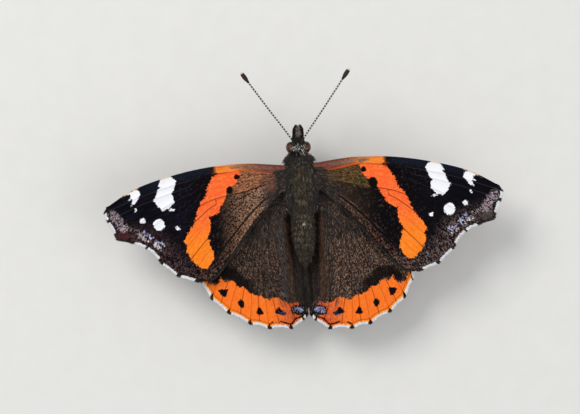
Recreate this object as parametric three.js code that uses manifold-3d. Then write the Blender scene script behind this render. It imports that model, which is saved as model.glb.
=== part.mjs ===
// Red admiral butterfly (Vanessa atalanta) at life size, wings spread flat,
// standing on its four walking legs with the short front pair folded.
// Millimetres. +X is the animal's right, +Y runs towards its head, +Z is up.
import * as THREE from 'three';
import { mergeVertices } from 'three/addons/utils/BufferGeometryUtils.js';
import Module from 'manifold-3d';

const wasm = await Module();
wasm.setup();

// Driving sizes
const GAP = 0.3;                  // clearance between nodes that touch in life
const EYE_GAP = 0.2;              // clearance round each eye in its socket
const MEMBRANE = 0.5;             // thickness of a wing between its veins
const MARGIN_THICKNESS = 0.4;     // thickness of a wing at its outer edge
const RIDGE = 0.16;               // height of a vein over the membrane, on each face
const RIDGE_HALF_WIDTH = 0.5;     // from a vein's crest to its foot
const FOLD = 0.1;                 // how far the membrane dips midway between two veins
const WING_ROWS = 10;             // steps from a wing's root to its margin
const MIDLINE = GAP / 2;          // nearest that either hindwing comes to the midline
const HEAD_TURN = THREE.MathUtils.degToRad(-2.5);

// Fore wing: height at the root, slope out to the side and the droop that eases it
const FORE_ROOT_Z = 9.25;
const FORE_RISE = 0.09;
const FORE_DROOP = 0.0016;
// Hind wing: the same, with the gutter that its inner edge forms round the abdomen
const HIND_ROOT_Z = 7.85;
const HIND_RISE = 0.07;
const HIND_DROOP = 0.0010;
const GUTTER = {
  outer: 3.4, inner: 1.7, bottom: 4.95, start: -5.3, full: -7.4, tail: -14.0, end: -23.0, endZ: 6.5,
};

// Each vein runs from the root through the points given to the margin.
// "from" is where along it the vein stands clear of the one it branches from,
// and "scallop" is the depth of the margin's hollow between it and the next one.
const FORE_VEINS = [
  { from: 0.00, scallop: 0.00,
    points: [[2.6, 2.0], [8.3, 2.5], [14.8, 2.2], [21.2, 1.0], [27.5, -1.0], [32.0, -3.6]] },
  { from: 0.00, scallop: 0.00,
    points: [[2.9, 1.3], [9.8, 1.4], [16.3, 0.5], [24.5, -1.6], [32.75, -4.6]] },
  { from: 0.52, scallop: 0.15,
    points: [[3.0, 0.9], [10.0, 0.5], [18.0, -0.9], [25.5, -3.2], [32.25, -5.9]] },
  { from: 0.46, scallop: 0.10,
    points: [[3.1, 0.5], [10.0, -0.4], [16.8, -1.6], [24.5, -5.1], [31.05, -9.15]] },
  { from: 0.48, scallop: 0.12, points: [[3.1, 0.1], [10.0, -1.3], [16.3, -2.4], [22.5, -5.6], [28.4, -9.8]] },
  { from: 0.00, scallop: 0.30,
    points: [[3.1, -0.3], [7.2, -1.5], [10.0, -2.3], [14.6, -3.2], [20.7, -6.1], [26.3, -10.7]] },
  { from: 0.44, scallop: 0.08,
    points: [
      [3.1, -0.7], [7.0, -2.2], [10.2, -3.1], [14.2, -4.0], [17.3, -6.2], [22.0, -10.8], [24.2, -13.3],
    ] },
  { from: 0.28, scallop: 0.05,
    points: [[3.1, -1.1], [6.8, -2.9], [10.0, -4.0], [13.3, -6.8], [17.6, -11.1], [21.6, -15.6]] },
  { from: 0.00, scallop: 0.05,
    points: [[3.05, -1.6], [7.0, -4.3], [8.9, -6.0], [13.5, -11.0], [18.4, -16.7]] },
  { from: 0.00, scallop: 0.00,
    points: [[3.05, -2.3], [7.6, -6.6], [12.9, -13.0], [15.6, -15.9], [17.0, -16.55]] },
];
const HIND_VEINS = [
  { from: 0.00, scallop: 0.00,
    points: [[3.6, -1.5], [8.2, -3.1], [13.2, -7.6], [16.6, -12.0], [17.75, -15.6]] },
  { from: 0.00, scallop: 0.15,
    points: [[3.6, -1.95], [7.5, -4.2], [11.8, -8.4], [15.5, -13.4], [17.3, -17.9]] },
  { from: 0.15, scallop: 0.15,
    points: [[3.6, -2.35], [7.0, -5.4], [9.4, -9.1], [12.05, -14.1], [14.3, -17.4], [15.85, -20.8]] },
  { from: 0.30, scallop: 0.35,
    points: [[3.6, -2.75], [6.4, -6.2], [8.3, -10.2], [10.2, -14.9], [11.6, -18.2], [13.25, -23.1]] },
  { from: 0.36, scallop: 0.40,
    points: [[3.55, -3.15], [6.0, -6.8], [7.6, -10.9], [8.9, -17.0], [9.9, -24.85]] },
  { from: 0.33, scallop: 0.45,
    points: [[3.5, -3.55], [5.5, -7.2], [6.8, -11.1], [7.3, -17.0], [6.85, -25.45]] },
  { from: 0.00, scallop: 0.10,
    points: [[3.4, -3.95], [4.9, -7.4], [5.9, -11.1], [5.6, -17.0], [3.2, -25.3]] },
  { from: 0.15, scallop: 0.00,
    points: [[3.3, -4.35], [4.3, -7.3], [4.7, -10.8], [3.8, -16.8], [0.9, -23.6]] },
  { from: 0.00, scallop: 0.00,
    points: [[3.1, -4.8], [3.5, -7.3], [3.2, -11.2], [2.1, -17.2], [0.45, -23.1]] },
  { from: 0.00, scallop: 0.00,
    points: [[2.95, -5.3], [2.4, -7.2], [1.0, -9.8], [0.15, -13.0], [0.15, -18.0], [0.15, -22.6]] },
];
// The left pair is held a little differently: each wing is swung about its root
const LEFT_FORE = { root: [3.0, 0.0], acrossByX: 0.987, acrossByY: 0.036, alongByX: 0.019, alongByY: 0.983 };
const LEFT_HIND = {
  root: [3.3, -3.5], acrossByX: 1.012, acrossByY: 0.0145, alongByX: 0.111, alongByY: 0.979,
};
const STRAIGHT = { root: [0, 0], acrossByX: 1, acrossByY: 0, alongByX: 0, alongByY: 1 };

// Body sections: y, half width, half height, height of the centre
const THORAX = [
  [3.1, 1.30, 1.30, 8.10], [2.4, 2.20, 2.00, 8.10], [1.2, 3.00, 2.55, 8.05], [-0.8, 3.30, 2.75, 8.00],
  [-3.0, 3.20, 2.60, 8.00], [-4.8, 2.75, 2.25, 7.90], [-6.2, 2.05, 1.75, 7.75],
];
const ABDOMEN = [
  [-6.5, 1.85, 1.72, 7.70], [-8.0, 2.00, 1.85, 7.65], [-10.0, 1.95, 1.85, 7.62], [-12.0, 1.60, 1.58, 7.58],
  [-13.6, 1.00, 1.05, 7.52], [-14.6, 0.38, 0.42, 7.50],
];
const HEAD = [
  [3.4, 1.15, 1.15, 8.10], [3.9, 1.55, 1.55, 8.10], [4.8, 1.62, 1.65, 8.05], [5.7, 1.15, 1.38, 7.95],
  [6.3, 0.50, 0.78, 7.85],
];
const ABDOMEN_SEGMENTS = 8;
const SEGMENT_STEP = 0.045;       // how far each segment's hind edge stands out, as a share of its width
const EYE = { x: 1.28, y: 4.72, z: 8.05, across: 0.76, along: 0.92, high: 1.2 };

// Walking legs: joint places on the right side and the half thickness at each
const MID_LEG = {
  joints: [
    [1.25, -0.6, 5.08], [1.65, -0.5, 4.25], [5.2, 0.5, 6.0],
    [8.0, 0.6, 0.8], [8.9, 0.7, 0.2], [11.4, 1.0, 0.2],
  ],
  radii: [0.52, 0.45, 0.36, 0.30, 0.27, 0.25],
};
const HIND_LEG = {
  joints: [
    [1.2, -3.3, 5.22], [1.55, -3.55, 4.4], [4.4, -6.2, 5.9],
    [6.9, -9.3, 0.8], [7.4, -10.1, 0.2], [9.0, -12.6, 0.2],
  ],
  radii: [0.52, 0.45, 0.36, 0.30, 0.27, 0.25],
};
const FORE_LEG = {
  joints: [[0.9, 1.7, 5.35], [1.25, 2.9, 4.55], [1.3, 4.0, 5.0], [1.1, 4.8, 5.8]],
  radii: [0.36, 0.34, 0.30, 0.25],
};
const PALP = {
  joints: [[0.85, 5.75, 6.4], [0.53, 6.7, 6.75], [0.5, 7.5, 7.35], [0.34, 8.1, 8.1]],
  radii: [0.32, 0.34, 0.30, 0.18],
};
const ANTENNA = {
  thin: 0.25, club: 0.42, clubLength: 2.2, tipZ: 11.3, scape: [[0.72, 5.3, 9.42], [0.98, 5.8, 9.72]],
};
const ANTENNA_TIP = { left: [8.43, 17.28], right: [9.07, 16.77] };
const COIL = { y: 5.35, z: 5.05, outer: 1.12, inner: 0.4, thick: 0.25, turns: 1.2, steps: 26 };
const TEGULA = { x: 2.2, y: 0.9, z: 10.2, across: 0.75, along: 1.7, high: 0.45 };
const COLLAR = { x: 0.95, y: 2.3, z: 9.55, across: 0.95, along: 0.6, high: 0.7 };

// Colours of the parts as seen from a few steps away
const FINISH = {
  wing: { color: 0x2b1d18, roughness: 0.85 },
  body: { color: 0x4a4034, roughness: 0.95 },
  abdomen: { color: 0x2f2823, roughness: 0.9 },
  eye: { color: 0x5a3526, roughness: 0.35 },
  palp: { color: 0x8d8683, roughness: 0.9 },
  antenna: { color: 0x17130f, roughness: 0.6 },
  leg: { color: 0x6b5440, roughness: 0.8 },
};

// Smooth curve through [place, value] pairs, places running downwards or upwards
function smoothTable(pairs) {
  const ordered = [...pairs].sort((a, b) => a[0] - b[0]);
  const value = (i) => ordered[Math.min(Math.max(i, 0), ordered.length - 1)];
  return (at) => {
    let i = 0;
    while (i < ordered.length - 2 && at > ordered[i + 1][0]) i += 1;
    const [x0, y0] = value(i);
    const [x1, y1] = value(i + 1);
    const slope = (j) => {
      const before = value(j - 1);
      const after = value(j + 1);
      return (after[1] - before[1]) / (after[0] - before[0]);
    };
    const t = THREE.MathUtils.clamp((at - x0) / (x1 - x0), 0, 1);
    const step = x1 - x0;
    const rise = (2 * t ** 3 - 3 * t ** 2 + 1) * y0 + (3 * t ** 2 - 2 * t ** 3) * y1;
    return rise + (t ** 3 - 2 * t ** 2 + t) * step * slope(i) + (t ** 3 - t ** 2) * step * slope(i + 1);
  };
}

// Body section at any place along a table of sections
function sections(table) {
  const column = (k) => smoothTable(table.map((row) => [row[0], row[k]]));
  const [width, height, centre] = [column(1), column(2), column(3)];
  return (y) => ({ width: width(y), height: height(y), centre: centre(y) });
}

const thoraxAt = sections(THORAX);
const abdomenAt = sections(ABDOMEN);
const headAt = sections(HEAD);

// Closed mesh from points and triangles, turned to face outwards
function closedMesh(points, triangles) {
  const geometry = new THREE.BufferGeometry();
  const numbers = points.flatMap((p) => [p.x, p.y, p.z]);
  geometry.setAttribute('position', new THREE.Float32BufferAttribute(numbers, 3));
  let volume = 0;
  for (const [a, b, c] of triangles) {
    volume += points[a].dot(new THREE.Vector3().crossVectors(points[b], points[c]));
  }
  const facing = volume > 0 ? triangles : triangles.map(([a, b, c]) => [a, c, b]);
  geometry.setIndex(facing.flat());
  return geometry;
}

// Skin over a row of rings with equal counts, closed by a fan at each end
function skinOverRings(rings) {
  const sides = rings[0].length;
  const points = rings.flat();
  const triangles = [];
  for (let r = 0; r + 1 < rings.length; r += 1) {
    for (let s = 0; s < sides; s += 1) {
      const a = r * sides + s;
      const b = r * sides + (s + 1) % sides;
      triangles.push([a, b, b + sides], [a, b + sides, a + sides]);
    }
  }
  for (const r of [0, rings.length - 1]) {
    const middle = new THREE.Vector3();
    rings[r].forEach((p) => middle.addScaledVector(p, 1 / sides));
    const hub = points.push(middle) - 1;
    for (let s = 0; s < sides; s += 1) {
      const a = r * sides + s;
      const b = r * sides + (s + 1) % sides;
      triangles.push(r === 0 ? [hub, b, a] : [hub, a, b]);
    }
  }
  return closedMesh(points, triangles);
}

// Oval ring across the body at one place
function bodyRing(at, y, sides, swell = 1) {
  const { width, height, centre } = at(y);
  return Array.from({ length: sides }, (_, s) => {
    const angle = (2 * Math.PI * (s + 0.5)) / sides;
    return new THREE.Vector3(width * swell * Math.cos(angle), y, centre + height * swell * Math.sin(angle));
  });
}

function bodyLoft(at, from, to, steps, sides) {
  const rings = [];
  for (let i = 0; i <= steps; i += 1) {
    rings.push(bodyRing(at, THREE.MathUtils.lerp(from, to, i / steps), sides));
  }
  return skinOverRings(rings);
}

// Round tube through places with a half thickness at each, kept above the floor
function tube(places, radii, sides, reference) {
  const rings = places.map((place, i) => {
    const before = places[Math.max(i - 1, 0)];
    const after = places[Math.min(i + 1, places.length - 1)];
    const along = new THREE.Vector3().subVectors(after, before).normalize();
    const across = new THREE.Vector3().crossVectors(along, reference).normalize();
    const over = new THREE.Vector3().crossVectors(across, along);
    return Array.from({ length: sides }, (_, s) => {
      const angle = (2 * Math.PI * (s + 0.5)) / sides;
      const point = place.clone();
      point.addScaledVector(across, radii[i] * Math.cos(angle));
      point.addScaledVector(over, radii[i] * Math.sin(angle));
      point.z = Math.max(point.z, 0);
      return point;
    });
  });
  return skinOverRings(rings);
}

// Jointed limb: straight lengths that swell a little, with rounded bends at the joints
function limb(joints, radii, side, sides = 8, swell = 0.12) {
  const places = [];
  const thickness = [];
  const spots = joints.map(([x, y, z]) => new THREE.Vector3(side * x, y, z));
  for (let i = 0; i + 1 < spots.length; i += 1) {
    const first = i === 0 ? 0 : 0.14;
    const last = i + 2 === spots.length ? 1 : 0.86;
    for (const t of [first, 0.5, last]) {
      places.push(new THREE.Vector3().lerpVectors(spots[i], spots[i + 1], t));
      const bulge = t === 0.5 ? 1 + swell : 1;
      thickness.push(THREE.MathUtils.lerp(radii[i], radii[i + 1], t) * bulge);
    }
  }
  return tube(places, thickness, sides, new THREE.Vector3(0, 0, 1));
}

// Booleans
function solidOf(geometry) {
  const bare = geometry.clone();
  bare.deleteAttribute('normal');
  bare.deleteAttribute('uv');
  const merged = mergeVertices(bare, 1e-4);
  return new wasm.Manifold(new wasm.Mesh({
    numProp: 3,
    vertProperties: new Float32Array(merged.getAttribute('position').array),
    triVerts: new Uint32Array(merged.getIndex().array),
  }));
}

function geometryOf(solid) {
  const largest = solid.decompose().sort((a, b) => b.volume() - a.volume())[0];
  const mesh = largest.getMesh();
  const geometry = new THREE.BufferGeometry();
  geometry.setAttribute('position', new THREE.Float32BufferAttribute(Array.from(mesh.vertProperties), 3));
  geometry.setIndex(Array.from(mesh.triVerts));
  return geometry;
}

// Rounded lump from its centre and three half sizes
function ellipsoid(shape, side, grow = 0, columns = 16, rows = 10) {
  const geometry = new THREE.SphereGeometry(1, columns, rows);
  geometry.scale(shape.across + grow, shape.along + grow, shape.high + grow);
  geometry.translate(side * shape.x, shape.y, shape.z);
  return geometry;
}

// Wing
const ease = (t) => THREE.MathUtils.smoothstep(t, 0, 1);

function foreHeight(x) {
  const out = x - 3;
  return FORE_ROOT_Z + FORE_RISE * out - FORE_DROOP * out * out;
}

function hindHeight(x, y) {
  const out = x - 3;
  const flat = HIND_ROOT_Z + HIND_RISE * out - HIND_DROOP * out * out;
  const inwards = ease((GUTTER.outer - x) / (GUTTER.outer - GUTTER.inner));
  const backwards = ease((GUTTER.start - y) / (GUTTER.start - GUTTER.full));
  const tail = ease((GUTTER.tail - y) / (GUTTER.tail - GUTTER.end));
  const bottom = THREE.MathUtils.lerp(GUTTER.bottom, GUTTER.endZ, tail);
  return flat - (flat - bottom) * inwards * backwards;
}

// Side of the thorax at a height, where a wing's root stands off it by the gap
function rootX(y, z, halfThickness) {
  const { width, height, centre } = thoraxAt(y);
  const share = (level) => Math.sqrt(Math.max(0, 1 - ((level - centre) / height) ** 2));
  return width * Math.max(share(z - halfThickness), share(z), share(z + halfThickness)) + GAP;
}

// Place of a wing's point once its wing is swung about its root
function held(x, y, hold) {
  const [rx, ry] = hold.root;
  const nearBody = Math.min(1, x / 4);
  const across = (hold.acrossByX - 1) * (x - rx) + hold.acrossByY * (y - ry);
  const along = hold.alongByX * (x - rx) + (hold.alongByY - 1) * (y - ry);
  return new THREE.Vector2(Math.max(MIDLINE, x + across * nearBody), y + along);
}

// One wing as a sheet with its veins raised in both faces. Its columns follow the
// veins from root to margin, each with a crest, a foot on either side and a fold between.
function wing(veins, heightAt, hold, side) {
  const paths = veins.map((vein) => new THREE.CatmullRomCurve3(
    vein.points.map(([x, y]) => new THREE.Vector3(x, y, 0)), false, 'centripetal'));
  const half = MEMBRANE / 2 + RIDGE;
  const rows = [];
  for (let r = 0; r <= WING_ROWS; r += 1) {
    const v = r / WING_ROWS;
    const crests = paths.map((path) => path.getPointAt(v));
    const row = [];
    veins.forEach((vein, i) => {
      const ridge = RIDGE * ease((v - vein.from + 0.06) / 0.1) * (1 - 0.4 * v);
      row.push({ at: crests[i].clone(), ridge, dip: 0 });
      if (i + 1 === veins.length) return;
      const spacing = crests[i].distanceTo(crests[i + 1]);
      const foot = Math.min(0.28, RIDGE_HALF_WIDTH / spacing);
      const hollow = r === WING_ROWS ? vein.scallop : 0;
      for (const [share, dip] of [[foot, 0.4], [0.5, 1], [1 - foot, 0.4]]) {
        const at = new THREE.Vector3().lerpVectors(crests[i], crests[i + 1], share);
        const inward = new THREE.Vector3();
        inward.lerpVectors(paths[i].getPointAt(0.8), paths[i + 1].getPointAt(0.8), share);
        at.addScaledVector(inward.sub(at).normalize(), hollow * (share === 0.5 ? 1 : 0.6));
        row.push({ at, ridge: 0, dip: dip * Math.min(1, spacing / 2) });
      }
    });
    rows.push(row);
  }
  const count = rows[0].length;
  const upper = [];
  const lower = [];
  rows.forEach((row, r) => row.forEach(({ at, ridge, dip }) => {
    const place = held(at.x, at.y, hold);
    if (r === 0) place.x = rootX(place.y, heightAt(place.x, place.y), half);
    const step = 0.01;
    const z = heightAt(place.x, place.y);
    const slopeX = (heightAt(place.x + step, place.y) - z) / step;
    const slopeY = (heightAt(place.x, place.y + step) - z) / step;
    const normal = new THREE.Vector3(-slopeX, -slopeY, 1).normalize();
    const middle = new THREE.Vector3(place.x, place.y, z).addScaledVector(normal, -FOLD * dip);
    const membrane = r === WING_ROWS ? MARGIN_THICKNESS : MEMBRANE;
    const top = middle.clone().addScaledVector(normal, membrane / 2 + ridge);
    const under = middle.clone().addScaledVector(normal, -membrane / 2 - ridge);
    for (const point of [top, under]) point.x = side * Math.max(point.x, MIDLINE);
    upper.push(top);
    lower.push(under);
  }));
  const triangles = [];
  const offset = upper.length;
  const rim = [];
  for (let r = 0; r < WING_ROWS; r += 1) {
    for (let c = 0; c + 1 < count; c += 1) {
      const a = r * count + c;
      const split = c % 4 < 2 ? [[a, a + 1, a + count + 1], [a, a + count + 1, a + count]]
        : [[a, a + 1, a + count], [a + 1, a + count + 1, a + count]];
      for (const [p, q, s] of split) triangles.push([p, q, s], [p + offset, s + offset, q + offset]);
    }
  }
  const last = WING_ROWS * count;
  for (let c = 0; c + 1 < count; c += 1) rim.push([c + 1, c], [last + c, last + c + 1]);
  for (let r = 0; r < WING_ROWS; r += 1) rim.push([r * count, (r + 1) * count]);
  for (let r = 0; r < WING_ROWS; r += 1) rim.push([(r + 2) * count - 1, (r + 1) * count - 1]);
  for (const [a, b] of rim) triangles.push([a, b, b + offset], [a, b + offset, a + offset]);
  return closedMesh([...upper, ...lower], triangles);
}

// Thorax with the two tegulae over the wing roots and the two lobes of the collar
function thorax() {
  let solid = solidOf(bodyLoft(thoraxAt, THORAX[0][0], THORAX.at(-1)[0], 12, 18));
  for (const side of [-1, 1]) {
    solid = solid.add(solidOf(ellipsoid(TEGULA, side, 0, 12, 8)));
    solid = solid.add(solidOf(ellipsoid(COLLAR, side, 0, 12, 8)));
  }
  return geometryOf(solid);
}

// Abdomen in segments, each with its hind edge standing over the next one's front
function abdomen() {
  const rings = [];
  const length = ABDOMEN[0][0] - ABDOMEN.at(-1)[0];
  for (let segment = 0; segment < ABDOMEN_SEGMENTS; segment += 1) {
    for (const [share, swell] of [[0, 1 - SEGMENT_STEP], [0.5, 1], [0.86, 1]]) {
      const y = ABDOMEN[0][0] - (length * (segment + share)) / ABDOMEN_SEGMENTS;
      rings.push(bodyRing(abdomenAt, y, 14, swell));
    }
  }
  rings.push(bodyRing(abdomenAt, ABDOMEN.at(-1)[0], 14));
  return skinOverRings(rings);
}

// Head with a socket for each eye
function head() {
  let solid = solidOf(bodyLoft(headAt, HEAD[0][0], HEAD.at(-1)[0], 10, 18));
  for (const side of [-1, 1]) solid = solid.subtract(solidOf(ellipsoid(EYE, side, EYE_GAP)));
  return geometryOf(solid);
}

// Feeler: a short scape, a straight thin shaft and a spindle-shaped club
function antenna(side, tip) {
  const scape = ANTENNA.scape.map(([x, y, z]) => new THREE.Vector3(side * x, y, z));
  const end = new THREE.Vector3(side * tip[0], tip[1], ANTENNA.tipZ);
  const shaft = scape[1].distanceTo(end);
  const clubStart = 1 - ANTENNA.clubLength / shaft;
  const places = [scape[0], new THREE.Vector3().lerpVectors(scape[0], scape[1], 0.7)];
  const radii = [ANTENNA.thin * 1.25, ANTENNA.thin * 1.15];
  const shares = [0.04, 0.2, 0.4, 0.6, 0.75, clubStart];
  for (const share of shares) {
    places.push(new THREE.Vector3().lerpVectors(scape[1], end, share));
    radii.push(ANTENNA.thin);
  }
  for (const [share, swell] of [[0.3, 0.7], [0.6, 1], [0.85, 0.95], [1, 0.5]]) {
    const along = THREE.MathUtils.lerp(clubStart, 1, share);
    places.push(new THREE.Vector3().lerpVectors(scape[1], end, along));
    radii.push(ANTENNA.club * swell);
  }
  return tube(places, radii, 8, new THREE.Vector3(0, 0, 1));
}

// Tongue, coiled under the head
function proboscis() {
  const places = [];
  const radii = [];
  for (let i = 0; i <= COIL.steps; i += 1) {
    const t = i / COIL.steps;
    const angle = THREE.MathUtils.degToRad(95) - t * COIL.turns * 2 * Math.PI;
    const reach = THREE.MathUtils.lerp(COIL.outer, COIL.inner, t);
    places.push(new THREE.Vector3(0, COIL.y + reach * Math.cos(angle), COIL.z + reach * Math.sin(angle)));
    radii.push(COIL.thick * (1 - 0.1 * t));
  }
  return tube(places, radii, 8, new THREE.Vector3(1, 0, 0));
}

const materials = {};
for (const [slot, look] of Object.entries(FINISH)) {
  materials[slot] = new THREE.MeshStandardMaterial({ ...look, metalness: 0 });
}

function node(name, geometry, slot, parent) {
  const mesh = new THREE.Mesh(geometry, materials[slot]);
  mesh.name = name;
  parent.add(mesh);
  return mesh;
}

const butterfly = new THREE.Group();
const trunk = new THREE.Group();
butterfly.add(trunk);
node('thorax', thorax(), 'body', trunk);
node('abdomen', abdomen(), 'abdomen', trunk);

// The head and all that it carries turn together about the neck
const neck = new THREE.Group();
const skull = new THREE.Group();
neck.position.set(0, HEAD[0][0], 0);
neck.rotation.z = HEAD_TURN;
skull.position.set(0, -HEAD[0][0], 0);
neck.add(skull);
butterfly.add(neck);
node('head', head(), 'body', skull);
node('proboscis', proboscis(), 'antenna', skull);

for (const [name, side] of [['left', -1], ['right', 1]]) {
  node(`eye_${name}`, ellipsoid(EYE, side), 'eye', skull);
  node(`palp_${name}`, limb(PALP.joints, PALP.radii, side), 'palp', skull);
  node(`antenna_${name}`, antenna(side, ANTENNA_TIP[name]), 'antenna', trunk);
  const fore = side > 0 ? STRAIGHT : LEFT_FORE;
  const hind = side > 0 ? STRAIGHT : LEFT_HIND;
  node(`forewing_${name}`, wing(FORE_VEINS, foreHeight, fore, side), 'wing', trunk);
  node(`hindwing_${name}`, wing(HIND_VEINS, hindHeight, hind, side), 'wing', trunk);
  node(`foreleg_${name}`, limb(FORE_LEG.joints, FORE_LEG.radii, side), 'leg', trunk);
  node(`midleg_${name}`, limb(MID_LEG.joints, MID_LEG.radii, side), 'leg', trunk);
  node(`hindleg_${name}`, limb(HIND_LEG.joints, HIND_LEG.radii, side), 'leg', trunk);
}

// The origin is on the floor under the middle of the whole butterfly
butterfly.updateMatrixWorld(true);
const bounds = new THREE.Box3().setFromObject(butterfly, true);
const middle = bounds.getCenter(new THREE.Vector3());
butterfly.position.set(-middle.x, -middle.y, -bounds.min.z);

const model = new THREE.Group();
model.add(butterfly);
export default model;
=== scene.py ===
# Red admiral butterfly, life size, with its wings spread flat and standing on its four walking legs.
import bpy
import math
import numpy as np
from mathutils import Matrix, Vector


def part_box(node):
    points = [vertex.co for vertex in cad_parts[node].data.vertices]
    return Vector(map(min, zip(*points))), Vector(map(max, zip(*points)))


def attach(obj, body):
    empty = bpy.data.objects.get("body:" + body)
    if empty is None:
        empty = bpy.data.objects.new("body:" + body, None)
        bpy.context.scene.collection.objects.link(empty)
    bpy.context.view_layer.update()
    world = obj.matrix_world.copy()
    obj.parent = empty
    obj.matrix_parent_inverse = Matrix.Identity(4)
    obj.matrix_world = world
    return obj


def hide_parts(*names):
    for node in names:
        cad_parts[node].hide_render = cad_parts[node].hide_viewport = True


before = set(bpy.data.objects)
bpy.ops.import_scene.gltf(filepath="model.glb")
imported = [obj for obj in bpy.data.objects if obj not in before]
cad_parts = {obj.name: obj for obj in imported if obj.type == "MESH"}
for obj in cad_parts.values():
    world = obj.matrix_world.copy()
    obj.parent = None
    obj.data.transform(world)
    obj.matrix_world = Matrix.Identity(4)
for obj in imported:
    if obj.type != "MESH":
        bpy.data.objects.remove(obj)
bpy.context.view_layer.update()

# Frame of the butterfly: millimetres from the middle of its thorax on the floor, +X its right, +Y its head.
# The thorax of the solids is even about the midline and its front face is 3.1 mm ahead of that middle.
MM = 0.001
THORAX_FRONT = 3.1
thorax_low, thorax_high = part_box("thorax")
MIDDLE = np.array([(thorax_low.x + thorax_high.x) / 2, thorax_high.y - THORAX_FRONT * MM, 0.0])


def place(points):
    """Points of the butterfly in millimetres, as metres in the row frame."""
    return np.asarray(points, float) * MM + MIDDLE


# Camera: straight above through a long lens, turned a little so that the head leans to the left.
LENS = 150
SENSOR = 36
VIEW_WIDTH = 93.96            # millimetres across the picture at the height of the wings
VIEW_CENTRE = (-1.95, -4.90)  # what the middle of the picture shows
WING_LEVEL = 10.0
VIEW_TURN = math.radians(-3.8)
camera = bpy.data.objects.new("camera", bpy.data.cameras.new("camera"))
camera.data.lens = LENS
camera.data.sensor_width = SENSOR
camera.location = place([*VIEW_CENTRE, WING_LEVEL + VIEW_WIDTH * LENS / SENSOR])
camera.rotation_euler = (0, 0, VIEW_TURN)
camera.data.clip_start = 0.01
camera.data.clip_end = 10
bpy.context.collection.objects.link(camera)
bpy.context.scene.camera = camera

# Floor and light: a plain pale floor, a broad soft key from the front left and a wide dim fill.
FLOOR_SIZE = 2.0
FLOOR_GRAIN = 300.0
KEY_POWER = 2.6
FILL_POWER = 1.2
SKY_COLOUR = (0.93, 0.96, 1.0, 1.0)
SKY_STRENGTH = 0.55


class Shade:
    """A value in a material's node tree. Arithmetic on it adds the nodes that work it out."""

    def __init__(self, tree, socket=None):
        self.tree = tree
        self.socket = socket

    def node(self, kind, settings=None, inputs=None, output=0):
        """Any other node: its type, its settings, and the values or links of its sockets."""
        made = self.tree.nodes.new("ShaderNode" + kind)
        for name, value in (settings or {}).items():
            if name == "stops":
                ramp = made.color_ramp
                while len(ramp.elements) < len(value):
                    ramp.elements.new(1.0)
                for element, (position, colour) in zip(ramp.elements, value):
                    element.position = position
                    element.color = (*colour, 1.0)
            else:
                setattr(made, name, value)
        for name, value in (inputs or {}).items():
            if isinstance(value, Shade):
                self.tree.links.new(value.socket, made.inputs[name])
            else:
                made.inputs[name].default_value = value
        return Shade(self.tree, made.outputs[output])

    def _math(self, operation, first, second):
        return self.node("Math", {"operation": operation}, {0: first, 1: second})

    def __add__(self, other):
        return self._math("ADD", self, other)

    def __radd__(self, other):
        return self._math("ADD", other, self)

    def __sub__(self, other):
        return self._math("SUBTRACT", self, other)

    def __rsub__(self, other):
        return self._math("SUBTRACT", other, self)

    def __mul__(self, other):
        return self._math("MULTIPLY", self, other)

    def __rmul__(self, other):
        return self._math("MULTIPLY", other, self)

    def most(self, other):
        return self._math("MAXIMUM", self, other)

    def least(self, other):
        return self._math("MINIMUM", self, other)

    def rise(self, low, high):
        """0 below low, 1 above high and smooth between."""
        sockets = {"Value": self, "From Min": low, "From Max": high}
        return self.node("MapRange", {"interpolation_type": "SMOOTHSTEP"}, sockets)

    def blend(self, under, over):
        """The colour under where this mask is 0, and over where it is 1."""
        sockets = {0: self, 6: colour_input(under), 7: colour_input(over)}
        return self.node("Mix", {"data_type": "RGBA"}, sockets, 2)

    def stretched(self, x, y, z=1.0):
        """This vector with each of its parts multiplied."""
        return self.node("VectorMath", {"operation": "MULTIPLY"}, {0: self, 1: (x, y, z)})

    def part(self, index):
        """One of this vector's three parts."""
        return self.node("SeparateXYZ", None, {0: self}, index)

    def size(self):
        """This value without its sign."""
        return self.node("Math", {"operation": "ABSOLUTE"}, {0: self})


def colour_input(colour):
    return colour if isinstance(colour, Shade) else (*colour, 1.0)


def tone(red, green, blue):
    """A colour with parts of 0 to 255, as the renderer's linear values."""
    return tuple((part / 255 / 12.92) if part < 10.3 else ((part / 255 + 0.055) / 1.055) ** 2.4
                 for part in (red, green, blue))


def new_material(name, roughness, specular=0.3):
    """A material, the start of its maths and its main shader."""
    material = bpy.data.materials.new(name)
    material.use_nodes = True
    shader = material.node_tree.nodes["Principled BSDF"]
    shader.inputs["Roughness"].default_value = roughness
    shader.inputs["Specular IOR Level"].default_value = specular
    return material, Shade(material.node_tree), shader


def object_plan(start):
    """Places on the piece itself, for a pattern that keeps its size."""
    return start.node("TexCoord", None, None, "Object")


def noise(vector, scale, detail=2.0, output="Fac"):
    return vector.node("TexNoise", None, {"Vector": vector, "Scale": scale, "Detail": detail}, output)


def paint(shader, colour, bump=None, distance=0.0001, strength=0.5):
    """Joins a colour, and a height for the bump, to a material's main shader."""
    tree = colour.tree
    tree.links.new(colour.socket, shader.inputs["Base Color"])
    if bump is not None:
        sockets = {"Height": bump, "Distance": distance, "Strength": strength}
        normal = colour.node("Bump", None, sockets)
        tree.links.new(normal.socket, shader.inputs["Normal"])


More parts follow.
